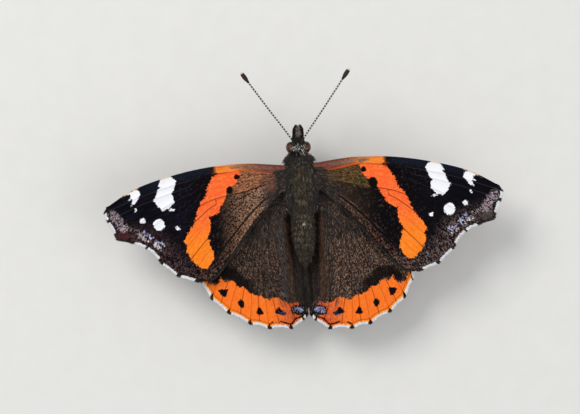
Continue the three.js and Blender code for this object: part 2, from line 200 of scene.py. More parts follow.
def mesh_object(name, points, faces, materials=(), face_materials=None, attributes=None, bake=None):
    """A piece from points in millimetres and arrays of faces with the same number of corners each."""
    mesh = bpy.data.meshes.new(name)
    corners = np.concatenate([group.ravel() for group in faces])
    totals = np.concatenate([np.full(len(group), group.shape[1]) for group in faces])
    mesh.vertices.add(len(points))
    mesh.vertices.foreach_set("co", place(points).ravel())
    mesh.loops.add(len(corners))
    mesh.loops.foreach_set("vertex_index", corners)
    mesh.polygons.add(len(totals))
    mesh.polygons.foreach_set("loop_start", np.concatenate([[0], np.cumsum(totals)[:-1]]))
    if face_materials is not None:
        mesh.polygons.foreach_set("material_index", face_materials)
    mesh.update(calc_edges=True)
    mesh.polygons.foreach_set("use_smooth", np.ones(len(totals), bool))
    for key, values in (attributes or {}).items():
        kind = "FLOAT" if values.ndim == 1 else "FLOAT_VECTOR"
        field = mesh.attributes.new(key, kind, "POINT")
        field.data.foreach_set("value" if values.ndim == 1 else "vector", values.astype(np.float32).ravel())
    if bake is not None:
        layer = mesh.uv_layers.new(name="OFBake")
        layer.data.foreach_set("uv", bake[corners].astype(np.float32).ravel())
    for material in materials:
        mesh.materials.append(material)
    mesh.validate()
    made = bpy.data.objects.new(name, mesh)
    bpy.context.collection.objects.link(made)
    return made


floor_material, floor_start, floor_shader = new_material("floor", 0.9, 0.1)
floor_grain = noise(object_plan(floor_start), FLOOR_GRAIN)
paint(floor_shader, floor_grain.blend(tone(226, 224, 219), tone(232, 230, 226)))
half_floor = FLOOR_SIZE / 2 / MM
floor_corners = np.array([[-1, -1, 0], [1, -1, 0], [1, 1, 0], [-1, 1, 0]]) * half_floor
floor = mesh_object("floor", floor_corners, [np.array([[0, 1, 2, 3]])], [floor_material])


def soft_light(name, where, size, power):
    """A square area light that looks at the butterfly from a place in metres."""
    light = bpy.data.lights.new(name, "AREA")
    light.size = size
    light.energy = power
    made = bpy.data.objects.new(name, light)
    made.location = where
    made.rotation_euler = (-Vector(where)).to_track_quat("-Z", "Y").to_euler()
    bpy.context.collection.objects.link(made)


soft_light("key", (-0.30, 0.35, 0.55), 0.35, KEY_POWER)
soft_light("fill", (0.45, -0.25, 0.50), 0.60, FILL_POWER)
world = bpy.data.worlds.new("studio")
world.use_nodes = True
world.node_tree.nodes["Background"].inputs["Color"].default_value = SKY_COLOUR
world.node_tree.nodes["Background"].inputs["Strength"].default_value = SKY_STRENGTH
bpy.context.scene.world = world
bpy.context.scene.view_settings.view_transform = "Standard"

# Skin of the trunk: head, thorax and abdomen in one closed hide of cuticle, lofted along the body.
# It lies under the solids' surface by the depth of the coat. The hind body's rings overlap backwards.
HEAD_TURN = math.radians(-2.5)
NECK = 3.4
BODY_SECTIONS = [         # y, half width, half height, height of the middle, depth of the coat
    (6.30, 0.50, 0.78, 7.85, 0.08), (5.70, 1.15, 1.38, 7.95, 0.20), (4.80, 1.62, 1.65, 8.05, 0.18),
    (3.90, 1.55, 1.55, 8.10, 0.18), (3.40, 1.15, 1.15, 8.10, 0.12), (3.10, 1.30, 1.30, 8.10, 0.18),
    (2.40, 2.20, 2.00, 8.10, 0.30), (1.20, 3.00, 2.55, 8.05, 0.38), (-0.80, 3.30, 2.75, 8.00, 0.40),
    (-3.00, 3.20, 2.60, 8.00, 0.40), (-4.80, 2.75, 2.25, 7.90, 0.36), (-6.20, 2.05, 1.75, 7.75, 0.22),
    (-8.00, 2.00, 1.85, 7.65, 0.16), (-10.00, 1.95, 1.85, 7.62, 0.14), (-12.00, 1.60, 1.58, 7.58, 0.12),
    (-13.60, 1.00, 1.05, 7.52, 0.10), (-14.60, 0.38, 0.42, 7.50, 0.08),
]
BODY_RINGS = 240
BODY_SIDES = 72
WAIST = -6.3
ABDOMEN_RINGS = 8
RING_STEP = 0.05
SECTION_STEP = 0.02       # the sections are smoothed in steps this long
SMOOTHED_OVER = 35        # and over this many of them
BLUNT_END = 0.5           # stretch over which either end rounds off
SKIN_SHADE = 0.35         # the bare skin's shade among those of the hairs, 0 to 1
# Swellings and hollows of the upper side: x, y, reach across, reach along, height; x above 0 is on both sides
SWELLINGS = [(2.2, 0.9, 0.55, 1.3, 0.22), (0.95, 2.3, 0.6, 0.45, 0.25), (0.0, -1.8, 0.22, 3.4, -0.14),
             (0.0, -4.7, 0.9, 0.8, 0.20), (1.2, -0.5, 0.9, 2.2, 0.08), (0.0, 5.3, 0.35, 0.7, -0.10)]


def ease(value):
    value = np.clip(value, 0, 1)
    return value * value * (3 - 2 * value)


def turned(points):
    """The head and all that it carries turn together about the neck."""
    points = np.array(points, float)
    turn = HEAD_TURN * ease((points[..., 1] - NECK + 0.3) / 0.6)
    x, y = points[..., 0].copy(), points[..., 1] - NECK
    points[..., 0] = x * np.cos(turn) - y * np.sin(turn)
    points[..., 1] = NECK + x * np.sin(turn) + y * np.cos(turn)
    return points


def normalised(vectors):
    return vectors / np.maximum(np.linalg.norm(vectors, axis=-1, keepdims=True), 1e-9)


def tube_faces(rings, sides):
    """Faces of a row of rings, with a pole point before the first ring and one after the last."""
    side = np.arange(sides)
    after = (side + 1) % sides
    start = (np.arange(rings - 1)[:, None] * sides)
    quads = np.stack([start + side, start + after, start + sides + after, start + sides + side], -1)
    quads = quads.reshape(-1, 4)
    last = (rings - 1) * sides
    first_pole = np.stack([np.full(sides, rings * sides), after, side], 1)
    last_pole = np.stack([np.full(sides, rings * sides + 1), last + side, last + after], 1)
    return [quads, np.vstack([first_pole, last_pole])]


def body_grid():
    """Rings of the trunk's skin from the face to the tip of the hind body."""
    table = np.array(BODY_SECTIONS[::-1])
    fine = np.arange(table[0, 0], table[-1, 0], SECTION_STEP)
    kernel = np.hanning(SMOOTHED_OVER) / np.hanning(SMOOTHED_OVER).sum()
    columns = []
    for k in range(1, 5):
        column = np.interp(fine, table[:, 0], table[:, k])
        columns.append(np.convolve(np.pad(column, SMOOTHED_OVER // 2, mode="edge"), kernel, "valid"))
    share = (1 - np.cos(np.linspace(0.02, 0.98, BODY_RINGS) * np.pi)) / 2
    y = table[-1, 0] + (table[0, 0] - table[-1, 0]) * (0.5 * share + 0.5 * np.linspace(0, 1, BODY_RINGS))
    half_width, half_height, middle, coat = (np.interp(y, fine, column)[:, None] for column in columns)
    end_gap = np.minimum(y[0] + 0.04 - y, y - y[-1] + 0.04)
    blunt = np.sqrt(np.clip(1 - (1 - end_gap / BLUNT_END).clip(0, 1) ** 2, 0.02, 1))
    angle = np.linspace(0, 2 * np.pi, BODY_SIDES, endpoint=False)[None, :]
    ring = (y - WAIST) / (table[0, 0] - WAIST) * ABDOMEN_RINGS
    step = np.where(y < WAIST, (ring % 1) ** 3 * RING_STEP * 2, 0)[:, None]
    x = (half_width - coat + step) * blunt[:, None] * np.cos(angle)
    z = middle + (half_height - coat + step) * blunt[:, None] * np.sin(angle)
    upper = np.clip(np.sin(angle) * 1.6, 0, 1)
    for across, along, reach_x, reach_y, height in SWELLINGS:
        bump = np.exp(-((np.abs(x) - across) / reach_x) ** 2 - ((y[:, None] - along) / reach_y) ** 2)
        z = z + height * bump * upper
    return turned(np.stack([x, y[:, None] + np.zeros_like(x), z], -1))


trunk = body_grid()


def attribute(start, name, output="Fac"):
    return start.node("Attribute", {"attribute_name": name}, None, output)


def fields_of(start, *names):
    return [attribute(start, name) for name in names]


def fur_maths(start):
    """Colour of the trunk's skin and coat from the place of each hair's root and its own shade."""
    mark = attribute(start, "mark", "Vector")
    x, y, z = (mark.part(index) for index in range(3))
    shade, reach = fields_of(start, "shade", "reach")
    off_middle = x.size()
    # olive-brown middle and blue-grey flanks
    patch = noise(mark, 0.9, 3.0)
    hue = noise(mark, 2.4, 3.0).rise(0.42, 0.58)
    centre = shade.rise(0.15, 0.95).blend(tone(17, 14, 11), hue.blend(tone(98, 78, 54), tone(74, 70, 58)))
    flank = shade.rise(0.15, 0.95).blend(tone(11, 10, 11), hue.blend(tone(54, 58, 63), tone(66, 56, 51)))
    colour = (off_middle + patch * 0.9 - 0.45).rise(0.7, 1.9).blend(centre, flank)
    # dark collar with a row of pale flecks, and single light hairs elsewhere
    collar = y.rise(1.9, 2.6) * (1 - y.rise(3.3, 3.7))
    colour = (collar * 0.8).blend(colour, shade.rise(0.3, 1.0).blend(tone(26, 22, 21), tone(74, 64, 64)))
    fleck = collar * (1 - off_middle.rise(0.7, 1.1)) * (1 - y.rise(2.5, 2.7)) * shade.rise(0.80, 0.88)
    colour = (fleck * 0.8).blend(colour, tone(150, 156, 156))
    side_fleck = off_middle.rise(2.2, 2.5) * shade.rise(0.80, 0.88) * y.rise(-3.5, -1.0)
    colour = (side_fleck * 0.8).blend(colour, tone(150, 150, 148))
    light = shade.rise(0.90, 0.95) * (1 - collar)
    colour = (light * 0.7).blend(colour, tone(132, 120, 100))
    # cream patch on the right shoulder
    tegula_x = x - 2.9
    tegula_y = y - 2.3
    cream = (tegula_x * tegula_x + tegula_y * tegula_y).rise(0.10, 0.04)
    colour = (cream * 0.9).blend(colour, tone(196, 178, 140))
    # black head with white flecks
    head = y.rise(3.5, 3.8)
    grey = (shade - y.rise(5.0, 5.5) * 0.25 - y.rise(4.3, 3.9) * 0.15).rise(0.73, 0.79)
    colour = head.blend(colour, grey.blend(tone(13, 10, 10), tone(222, 220, 212)))
    # grizzled hind body with one white speck
    abdomen = y.rise(-5.6, -6.8)
    grizzle = shade.rise(0.25, 0.95).blend(tone(11, 10, 10), hue.blend(tone(108, 92, 70), tone(74, 70, 62)))
    grizzle = (shade.rise(0.86, 0.92) * 0.7).blend(grizzle, tone(150, 132, 102))
    grizzle = (off_middle.rise(1.1, 1.8) * 0.75).blend(grizzle, tone(24, 19, 16))
    grizzle = (y.rise(-9.5, -12.5) * 0.45).blend(grizzle, tone(30, 25, 21))
    colour = abdomen.blend(colour, grizzle)
    speck_x = x - 0.15
    speck_y = y + 7.5
    speck = (speck_x * speck_x + speck_y * speck_y).rise(0.06, 0.02) * z.rise(8.5, 8.8)
    colour = (speck * 0.9).blend(colour, tone(214, 208, 198))
    # tan underside
    under = z.rise(7.3, 6.3)
    belly = shade.blend(tone(96, 80, 66), tone(168, 148, 126))
    colour = (under * (1 - head * 0.4)).blend(colour, belly)
    return (reach.rise(0.2, 1.0) * 0.14).blend(colour, tone(130, 120, 104))


def fur_material(name, colour_of, roughness=0.7):
    material, start, shader = new_material(name, roughness, 0.25)
    colour = colour_of(start)
    paint(shader, colour, noise(object_plan(start), 9000.0), 0.00002, 0.5)
    return material


def skin_piece(name, grid, material, fields=None):
    """A closed skin from a grid of rings, with the attributes that its material reads."""
    rings, sides = grid.shape[:2]
    poles = np.stack([grid[0].mean(0), grid[-1].mean(0)])
    points = np.vstack([grid.reshape(-1, 3), poles])
    quads, ends = tube_faces(rings, sides)
    centre = grid.mean(1)
    outward = np.einsum("ij,ij->i", np.cross(grid[:-1, 1] - grid[:-1, 0], grid[1:, 0] - grid[:-1, 0]),
                        grid[:-1, 0] - centre[:-1])
    if np.median(outward) < 0:
        quads, ends = quads[:, ::-1], ends[:, ::-1]
    shade = np.full(len(points), SKIN_SHADE)
    attributes = {"mark": points, "shade": shade, "reach": np.zeros(len(points)), **(fields or {})}
    return mesh_object(name, points, [quads, ends], [material], None, attributes)


trunk_fur = fur_material("trunk_fur", fur_maths)
skin = skin_piece("skin", trunk, trunk_fur)
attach(skin, "root")
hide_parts("head", "thorax", "abdomen")

# Coat of the trunk: hair-like scales in thin tufts that lie backwards and overlap.
# They are longest on the thorax, short and sleek on the hind body and shortest on the face.
TUFT_SPAN = 0.003         # width of a tuft's patch on its bake map
TUFT_ROOT = 0.04          # how deep a tuft is rooted
TUFT_BENDS = (1.0, 0.35, -0.15)       # rise of its three lengths, as shares of its lift
TUFT_WIDTHS = (0.75, 1.0, 0.65)       # width at its root and its two bends
TUFT_HEIGHT = 0.9                     # height of its ridge, as a share of half its width
LENGTH_SPREAD = (0.65, 1.25)
WIDTH_SPREAD = (0.75, 1.25)
LIFT_SPREAD = (0.5, 1.5)
TUFT_POINTS = 10
TUFT_REACH = [0, 0, 0, 0.33, 0.33, 0.33, 0.67, 0.67, 0.67, 1.0]
TUFT_PATCH = np.array([(across, along) for along in (-1, -0.3, 0.4) for across in (-1, 0, 1)] + [(0, 1)])


def grid_normals(grid, closed=True):
    along = np.gradient(grid, axis=0)
    if closed:
        across = (np.roll(grid, -1, 1) - np.roll(grid, 1, 1)) / 2
    else:
        across = np.gradient(grid, axis=1)
    return normalised(np.cross(across, along))


class Roots:
    """Random places on a skin's grid, and the values there of anything known over the grid."""

    def __init__(self, grid, weight, count, seed, closed=True):
        self.draw = np.random.default_rng(seed)
        self.closed = closed
        following = np.roll(grid, -1, 1) if closed else grid[:, 1:]
        here = grid if closed else grid[:, :-1]
        area = np.linalg.norm(np.cross(following[:-1] - here[:-1], here[1:] - here[:-1]), axis=-1)
        odds = area * (weight if closed else weight[:, :-1])[:-1]
        chosen = self.draw.choice(odds.size, count, p=odds.ravel() / odds.sum())
        self.row, self.column = np.unravel_index(chosen, odds.shape)
        self.along, self.across = self.draw.random((2, count))
        self.rows, self.columns = grid.shape[:2]
        self.count = count

    def value(self, field):
        row, column = self.row, self.column
        beside = (column + 1) % self.columns
        a, b = self.along, self.across
        if field.ndim == 3:
            a, b = a[:, None], b[:, None]
        near = field[row, column] * (1 - b) + field[row, beside] * b
        far = field[row + 1, column] * (1 - b) + field[row + 1, beside] * b
        return near * (1 - a) + far * a

    def unwrapped(self):
        return np.stack([(self.column + self.across) / self.columns, (self.row + self.along) / self.rows], 1)


def tuft_faces(points):
    """Faces of one tuft from its points, all turned outwards."""
    faces = [(2, 1, 0)]
    for ring in (0, 3):
        for k in range(3):
            m = (k + 1) % 3
            faces += [(ring + k, ring + m, ring + 3 + m), (ring + k, ring + 3 + m, ring + 3 + k)]
    faces += [(6 + k, 6 + (k + 1) % 3, 9) for k in range(3)]
    faces = np.array(faces)
    solid = points[faces]
    volume = np.einsum("ij,ij->i", solid[:, 0], np.cross(solid[:, 1], solid[:, 2])).sum()
    return faces[:, ::-1] if volume < 0 else faces


def grow(name, roots, points, normals, lie, length, width, lift, material, extra=None, scatter=0.35):
    """Tufts as closed three-sided spikes of three lengths each that bend back towards the skin."""
    draw, count = roots.draw, roots.count
    normals = normalised(normals)
    lie = lie - normals * np.einsum("ij,ij->i", lie, normals)[:, None]
    lie = normalised(normalised(lie) + draw.normal(0, scatter, (count, 3)))
    lie = normalised(lie - normals * np.einsum("ij,ij->i", lie, normals)[:, None])
    side = np.cross(lie, normals)
    length = length * draw.uniform(*LENGTH_SPREAD, count)
    width = width * draw.uniform(*WIDTH_SPREAD, count)
    lift = lift * draw.uniform(*LIFT_SPREAD, count)
    spine = [points - normals * TUFT_ROOT]
    for bend in TUFT_BENDS:
        tilt = (lift * bend)[:, None]
        spine.append(spine[-1] + (lie * np.cos(tilt) + normals * np.sin(tilt)) * (length / 3)[:, None])
    corners = []
    for spot, thick in zip(spine, TUFT_WIDTHS):
        half = (width * thick / 2)[:, None]
        corners += [spot + side * half, spot + normals * half * TUFT_HEIGHT, spot - side * half]
    corners.append(spine[3])
    points = np.stack(corners, 1)
    points[..., 2] = np.maximum(points[..., 2], 0)
    faces = np.arange(count)[:, None, None] * TUFT_POINTS + tuft_faces(points[0])[None]
    patch = np.clip(roots.unwrapped(), TUFT_SPAN, 1 - TUFT_SPAN)[:, None, :]
    patch = patch + TUFT_PATCH[None] * TUFT_SPAN / 2
    attributes = {"mark": np.repeat(spine[0], TUFT_POINTS, axis=0),
                  "shade": np.repeat(draw.random(count), TUFT_POINTS),
                  "reach": np.tile(TUFT_REACH, count)}
    for key, values in (extra or {}).items():
        attributes[key] = np.repeat(values, TUFT_POINTS, axis=0)
    coat = mesh_object(name, points.reshape(-1, 3), [faces.reshape(-1, 3)], [material], None, attributes,
                       patch.reshape(-1, 2))
    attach(coat, "root")
    return coat


def trunk_coat(name, slot, count, front, rear, length, width, lift, seed, outwards):
    """The coat between two places along the trunk, thinning out over a short stretch at either end."""
    y = trunk[..., 1]
    weight = ease((front - y) / COAT_FADE) * ease((y - rear) / COAT_FADE)
    for side in (-1, 1):
        eye = turned([side * EYE["x"], EYE["y"], EYE["z"]])
        gap = (trunk - eye) / (np.array([EYE["across"], EYE["along"], EYE["high"]]) * 1.02)
        weight = weight * (np.linalg.norm(gap, axis=-1) > 1)
    normals = grid_normals(trunk)
    normals *= np.sign(np.einsum("ijk,ijk->ij", normals, trunk - trunk.mean(1, keepdims=True)))[..., None]
    lie = np.zeros_like(trunk)
    lie[..., 1] = -1
    lie[..., 0] = np.sign(trunk[..., 0]) * outwards * np.minimum(1, np.abs(trunk[..., 0]))
    roots = Roots(trunk, weight, count, seed)
    coat = grow(name, roots, roots.value(trunk), roots.value(normals), roots.value(lie),
                length, width, lift, trunk_fur, scatter=0.25)


EYE = dict(x=1.28, y=4.72, z=8.05, across=0.76, along=0.92, high=1.2)
COAT_FADE = 0.3
# name, slot, tufts, front end, rear end, length, width, lift in radians, seed, drift outwards
TRUNK_COATS = [
    ("coat_thorax", "body", 11800, 3.3, -6.6, 1.00, 0.100, 0.24, 11, 0.25),
    ("coat_collar", "body", 2600, 3.6, 1.6, 0.70, 0.095, 0.50, 12, 0.25),
    ("coat_head", "body", 3000, 6.5, 3.2, 0.36, 0.105, 0.60, 13, 0.5),
    ("coat_neck", "body", 4200, 4.2, 2.6, 1.45, 0.075, 1.20, 15, 1.2),
    ("coat_abdomen", "abdomen", 9500, -6.0, -14.9, 0.72, 0.090, 0.22, 14, 0.05),
]
for trunk_part in TRUNK_COATS:
    trunk_coat(*trunk_part)

# Compound eyes: domes of close-packed lenses on the sides of the head, red-brown,
# black towards the front of their upper half.
SIDES = (("left", -1), ("right", 1))
EYE_ROWS = 40
EYE_COLUMNS = 56
LENS_SCALE = 16000.0
BROW_HAIRS = 380
BROW = dict(length=0.30, width=0.055, lift=0.35)
eye_material, eye_start, eye_shader = new_material("compound_eye", 0.35, 0.3)
eye_plan = object_plan(eye_start)
lens_net = {"Vector": eye_plan, "Scale": LENS_SCALE, "Randomness": 0.25}
lenses = eye_plan.node("TexVoronoi", None, lens_net, "Distance")
eye_front = attribute(eye_start, "front")
eye_cloud = noise(eye_plan, 2400.0)
eye_colour = (eye_front + eye_cloud * 0.5 - 0.25).rise(0.05, 0.50).blend(tone(96, 38, 14), tone(12, 7, 7))
eye_colour = eye_front.rise(-0.45, -0.85).blend(eye_colour, tone(30, 14, 12))
paint(eye_shader, eye_colour, lenses, 0.00001, 0.6)


def ball_grid(centre, radii, rows, columns):
    """Places on a ball of radius one, and on the oval that it makes with these radii."""
    around = np.linspace(0, 2 * np.pi, columns, endpoint=False)[None, :]
    down = np.linspace(0.02, np.pi - 0.02, rows)[:, None]
    ring = np.sin(down)
    ball = np.stack([ring * np.cos(around), ring * np.sin(around), np.cos(down) + 0 * around], -1)
    return ball, ball * np.array(radii) + np.array(centre)


def brow_maths(start):
    shade = attribute(start, "shade")
    return shade.rise(0.62, 0.74).blend(tone(22, 17, 16), tone(214, 210, 202))


brow_hair = fur_material("brow_hair", brow_maths)
for word, side in SIDES:
    ball, dome = ball_grid((side * EYE["x"], EYE["y"], EYE["z"]), (EYE["across"], EYE["along"], EYE["high"]),
                           EYE_ROWS, EYE_COLUMNS)
    dome = turned(dome)
    front = np.append((ball[..., 1] * ease((ball[..., 2] + 0.1) / 0.5)).ravel(), [0, 0])
    eye = skin_piece(f"eye_{word}_dome", dome, eye_material, {"front": front})
    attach(eye, "root")
    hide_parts(f"eye_{word}")
    weight = ease((0.05 - side * ball[..., 0]) / 0.45) * ease((ball[..., 2] - 0.1) / 0.4)
    roots = Roots(dome, weight, BROW_HAIRS, 17 + side)
    lie = np.tile((side * 0.45, -0.9, 0.0), (roots.count, 1))
    brow = grow(f"eye_{word}_brow", roots, roots.value(dome), roots.value(ball), lie,
                material=brow_hair, **BROW)

# Palps: two upturned furry feelers of three joints in front of the face, black outside and pale inside.
PALP_JOINTS = [(0.80, 5.75, 6.4), (0.48, 6.7, 6.75), (0.43, 7.5, 7.35), (0.31, 8.1, 8.1)]
PALP_RADII = [0.32, 0.39, 0.36, 0.17]
PALP_COAT = 0.03           # depth of the coat over the skin
PALP_HAIRS = 2400
PALP_HAIR = dict(length=0.44, width=0.070, lift=0.50)


def smooth_path(points):
    """Close-set places on a smooth curve through the points, and the way along to each."""
    points = np.array(points, float)
    ends = np.vstack([2 * points[0] - points[1], points, 2 * points[-1] - points[-2]])
    curve = []
    t = np.linspace(0, 1, 40, endpoint=False)[:, None]
    for a, b, c, d in zip(ends, ends[1:], ends[2:], ends[3:]):
        ab, bc, cd = (np.linalg.norm(q - p) ** 0.5 for p, q in ((a, b), (b, c), (c, d)))
        leave = ((b - a) / ab - (c - a) / (ab + bc) + (c - b) / bc) * bc
        arrive = ((c - b) / bc - (d - b) / (bc + cd) + (d - c) / cd) * bc
        curve.append((2 * t ** 3 - 3 * t ** 2 + 1) * b + (t ** 3 - 2 * t ** 2 + t) * leave
                     + (3 * t ** 2 - 2 * t ** 3) * c + (t ** 3 - t ** 2) * arrive)
    curve = np.vstack([*curve, points[-1:]])
    run = np.concatenate([[0], np.cumsum(np.linalg.norm(np.diff(curve, axis=0), axis=1))])
    return curve, run


def places_along(path, distances):
    curve, run = path
    return np.stack([np.interp(distances, run, curve[:, k]) for k in range(curve.shape[1])], -1)


def tube_grid(places, radii, sides):
    """Rings of points round a line of places, turned as little as possible from ring to ring."""
    along = normalised(np.gradient(places, axis=0))
    across = np.zeros_like(along)
    start = np.cross(along[0], (0.13, 0.21, 0.97))
    for i, direction in enumerate(along):
        start = start - direction * (start @ direction)
        start = start / np.linalg.norm(start)
        across[i] = start
    over = np.cross(along, across)
    angle = np.linspace(0, 2 * np.pi, sides, endpoint=False)[None, :, None]
    radii = np.asarray(radii)[:, None, None]
    return places[:, None] + radii * (np.cos(angle) * across[:, None] + np.sin(angle) * over[:, None])


def limb_grid(joints, radii, side, steps, sides, knuckle=0.0):
    """Skin of a jointed limb that tapers from joint to joint, with a knuckle's swelling at each joint."""
    joints = np.array(joints, float) * (side, 1, 1)
    spots = []
    for i, (a, b) in enumerate(zip(joints, joints[1:])):
        shares = [0 if i == 0 else 0.12, 0.5, 1 if i + 2 == len(joints) else 0.88]
        spots += [a + (b - a) * share for share in shares]
    path = smooth_path(spots)
    way = np.linspace(0, path[1][-1], steps)
    places = places_along(path, way)
    joint_way = [path[1][np.argmin(np.linalg.norm(path[0] - joint, axis=1))] for joint in joints]
    thick = np.interp(way, joint_way, radii)
    for at in joint_way[1:-1]:
        thick = thick * (1 + knuckle * np.exp(-((way - at) / 0.22) ** 2))
    near_end = np.minimum(way - way[0], way[-1] - way) / (thick * 1.2) + 0.02
    thick = thick * np.sqrt(np.clip(1 - (1 - np.clip(near_end, 0, 1)) ** 2, 0.01, 1))
    return tube_grid(places, thick, sides), way


def palp_maths(start):
    """Colour of the palps: black outside, pale inside, brown in the gap between them and at their base."""
    mark = attribute(start, "mark", "Vector")
    shade, inner = fields_of(start, "shade", "inner")
    along = mark.part(1)
    middle = (mark.part(0) - (along - NECK) * math.tan(-HEAD_TURN)).size()
    pale = shade.rise(0.25, 0.70).blend(tone(58, 46, 42), tone(226, 208, 198))
    pale = (middle.rise(0.20, 0.08) * 0.8).blend(pale, tone(88, 60, 44))
    pale = along.rise(6.9, 6.1).blend(pale, shade.blend(tone(30, 24, 22), tone(104, 88, 80)))
    dark = shade.blend(tone(9, 7, 8), tone(38, 32, 32))
    return (inner + noise(mark, 3.0) * 0.5 - 0.25).rise(-0.1, 0.4).blend(dark, pale)


palp_fur = fur_material("palp_fur", palp_maths)
for word, side in SIDES:
    grid, way = limb_grid(PALP_JOINTS, np.array(PALP_RADII) - PALP_COAT, side, 60, 24, 0.08)
    inner = -side * (grid[..., 0] - grid.mean(1)[:, None, 0]) / 0.3
    normals = normalised(grid - grid.mean(1, keepdims=True))
    lie = np.gradient(grid.mean(1), axis=0)[:, None, :] + np.zeros_like(grid)
    grid = turned(grid)
    palp = skin_piece(f"palp_{word}_skin", grid, palp_fur, {"inner": np.append(inner.ravel(), [0, 0])})
    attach(palp, "root")
    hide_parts(f"palp_{word}")
    roots = Roots(grid, np.ones(grid.shape[:2]), PALP_HAIRS, 21 + side)
    coat = grow(f"palp_{word}_coat", roots, roots.value(grid), roots.value(normals), roots.value(lie),
                material=palp_fur, extra={"inner": roots.value(inner)}, **PALP_HAIR)

# Tongue: a brown tube of fine rings, coiled flat under the face between the palps.
COIL = dict(y=5.35, z=5.05, outer=1.12, inner=0.36, thick=0.20, turns=1.6, start=95)
COIL_STEPS = 220
COIL_TAPER = 0.35
COIL_WAVE = 420            # angle that the wave of the fine rings runs through, in radians
COIL_RING_HEIGHT = 0.05    # as a share of the tube's radius


def mottled_material(name, roughness, specular, scale, dark, light, grain, height):
    """A plain finish of two mottled tones over a fine grain."""
    material, start, shader = new_material(name, roughness, specular)
    plan = object_plan(start)
    paint(shader, noise(plan, scale).blend(dark, light), noise(plan, grain), height)
    return material


coil_share = np.linspace(0, 1, COIL_STEPS)
coil_angle = math.radians(COIL["start"]) - coil_share * COIL["turns"] * 2 * math.pi
coil_reach = COIL["outer"] + (COIL["inner"] - COIL["outer"]) * coil_share
coil_places = np.stack([0 * coil_share, COIL["y"] + coil_reach * np.cos(coil_angle),
                        COIL["z"] + coil_reach * np.sin(coil_angle)], -1)
coil_rings = COIL_RING_HEIGHT * np.sin(coil_share * COIL_WAVE)
coil_thick = COIL["thick"] * (1 - COIL_TAPER * coil_share) * (1 + coil_rings)
coil_thick[[0, -1]] *= 0.4
tongue_material = mottled_material("tongue", 0.45, 0.3, 5000.0, tone(52, 30, 18), tone(104, 66, 38),
                                   9000.0, 0.00002)
tongue = skin_piece("tongue", turned(tube_grid(coil_places, coil_thick, 16)), tongue_material)
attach(tongue, "root")
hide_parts("proboscis")

# Antennae: stiff black feelers of many short joints, each with a band of white scales,
# rising from a round socket between the eyes to a spindle-shaped club with a cream tip.
SCAPE = [(0.52, 5.0, 9.30), (0.66, 5.5, 9.62)]
ANTENNA_TIP = {"left": (8.43, 17.28, 11.3), "right": (9.07, 16.77, 11.3)}
ANTENNA_THIN = 0.135
ANTENNA_CLUB = 0.37
ANTENNA_STEPS = 150
ANTENNA_SIDES = 18
ANTENNA_BOW = 0.06         # rise of the shaft midway
SOCKET_SWELL = 0.35        # swelling over the socket, and where it is
SOCKET_AT = 0.35
CLUB_LENGTH = 2.4
BAND_START = 1.6           # black stretch before the first white band
BAND_COUNT = 24
BAND_LENGTH = 0.18
BAND_HEIGHT = 0.022        # over the shaft


def shaft_maths(start):
    plan = object_plan(start)
    club = attribute(start, "club")
    colour = noise(plan, 3000.0).blend(tone(10, 8, 8), tone(34, 26, 22))
    colour = club.rise(0.86, 0.94).blend(colour, tone(226, 200, 158))
    brown = club.rise(0.02, 0.35) * (1 - club.rise(0.7, 0.9)) * 0.5
    return brown.blend(colour, tone(52, 30, 20)), noise(plan, 12000.0)


def repeat_tree(name, inputs, nodes, links):
    """Geometry Nodes: a small solid set at even steps on a path, made real and given its finish.
    The further inputs, nodes and links say what the solid is and how it is turned."""
    tree = bpy.data.node_groups.new(name, "GeometryNodeTree")
    for socket, kind in {"Geometry": "Geometry", "Count": "Int", "Finish": "Material", **inputs}.items():
        tree.interface.new_socket(socket, in_out="INPUT", socket_type="NodeSocket" + kind)
    tree.interface.new_socket("Geometry", in_out="OUTPUT", socket_type="NodeSocketGeometry")
    nodes = {"in": ("NodeGroupInput", {}, {}), "out": ("NodeGroupOutput", {}, {}),
             "curve": ("GeometryNodeMeshToCurve", {}, {}),
             "points": ("GeometryNodeCurveToPoints", {"mode": "COUNT"}, {}),
             "put": ("GeometryNodeInstanceOnPoints", {}, {}),
             "real": ("GeometryNodeRealizeInstances", {}, {}),
             "smooth": ("GeometryNodeSetShadeSmooth", {}, {}),
             "finish": ("GeometryNodeSetMaterial", {}, {}), **nodes}
    made = {}
    for key, (kind, settings, values) in nodes.items():
        made[key] = tree.nodes.new(kind)
        for setting, value in settings.items():
            setattr(made[key], setting, value)
        for socket, value in values.items():
            made[key].inputs[socket].default_value = value
    for link in ["in.Geometry > curve.Mesh", "curve.Curve > points.Curve", "in.Count > points.Count",
                 "points.Points > put.Points", "put.Instances > real.Geometry",
                 "real.Geometry > smooth.Geometry", "smooth.Geometry > finish.Geometry",
                 "in.Finish > finish.Material", "finish.Geometry > out.Geometry", *links]:
        (source, output), (target, socket) = (end.split(".") for end in link.split(" > "))
        tree.links.new(made[source].outputs[output], made[target].inputs[socket])
    return tree


def along_path(name, places, tree, values):
    """Runs a Geometry Nodes tree on a line of places and returns its result as a plain mesh object."""
    mesh = bpy.data.meshes.new(name + "_path")
    mesh.from_pydata([tuple(p) for p in place(places)], [(i, i + 1) for i in range(len(places) - 1)], [])
    holder = bpy.data.objects.new(name + "_path", mesh)
    bpy.context.collection.objects.link(holder)
    modifier = holder.modifiers.new("nodes", "NODES")
    modifier.node_group = tree
    for item in tree.interface.items_tree:
        if item.in_out == "INPUT" and item.name in values:
            modifier[item.identifier] = values[item.name]
    evaluated = holder.evaluated_get(bpy.context.evaluated_depsgraph_get())
    result = bpy.data.meshes.new_from_object(evaluated)
    for corner in result.vertices:
        corner.co.z = max(corner.co.z, 0.0)
    holder.modifiers.remove(modifier)
    bpy.data.objects.remove(holder)
    made = bpy.data.objects.new(name, result)
    bpy.context.collection.objects.link(made)
    return made


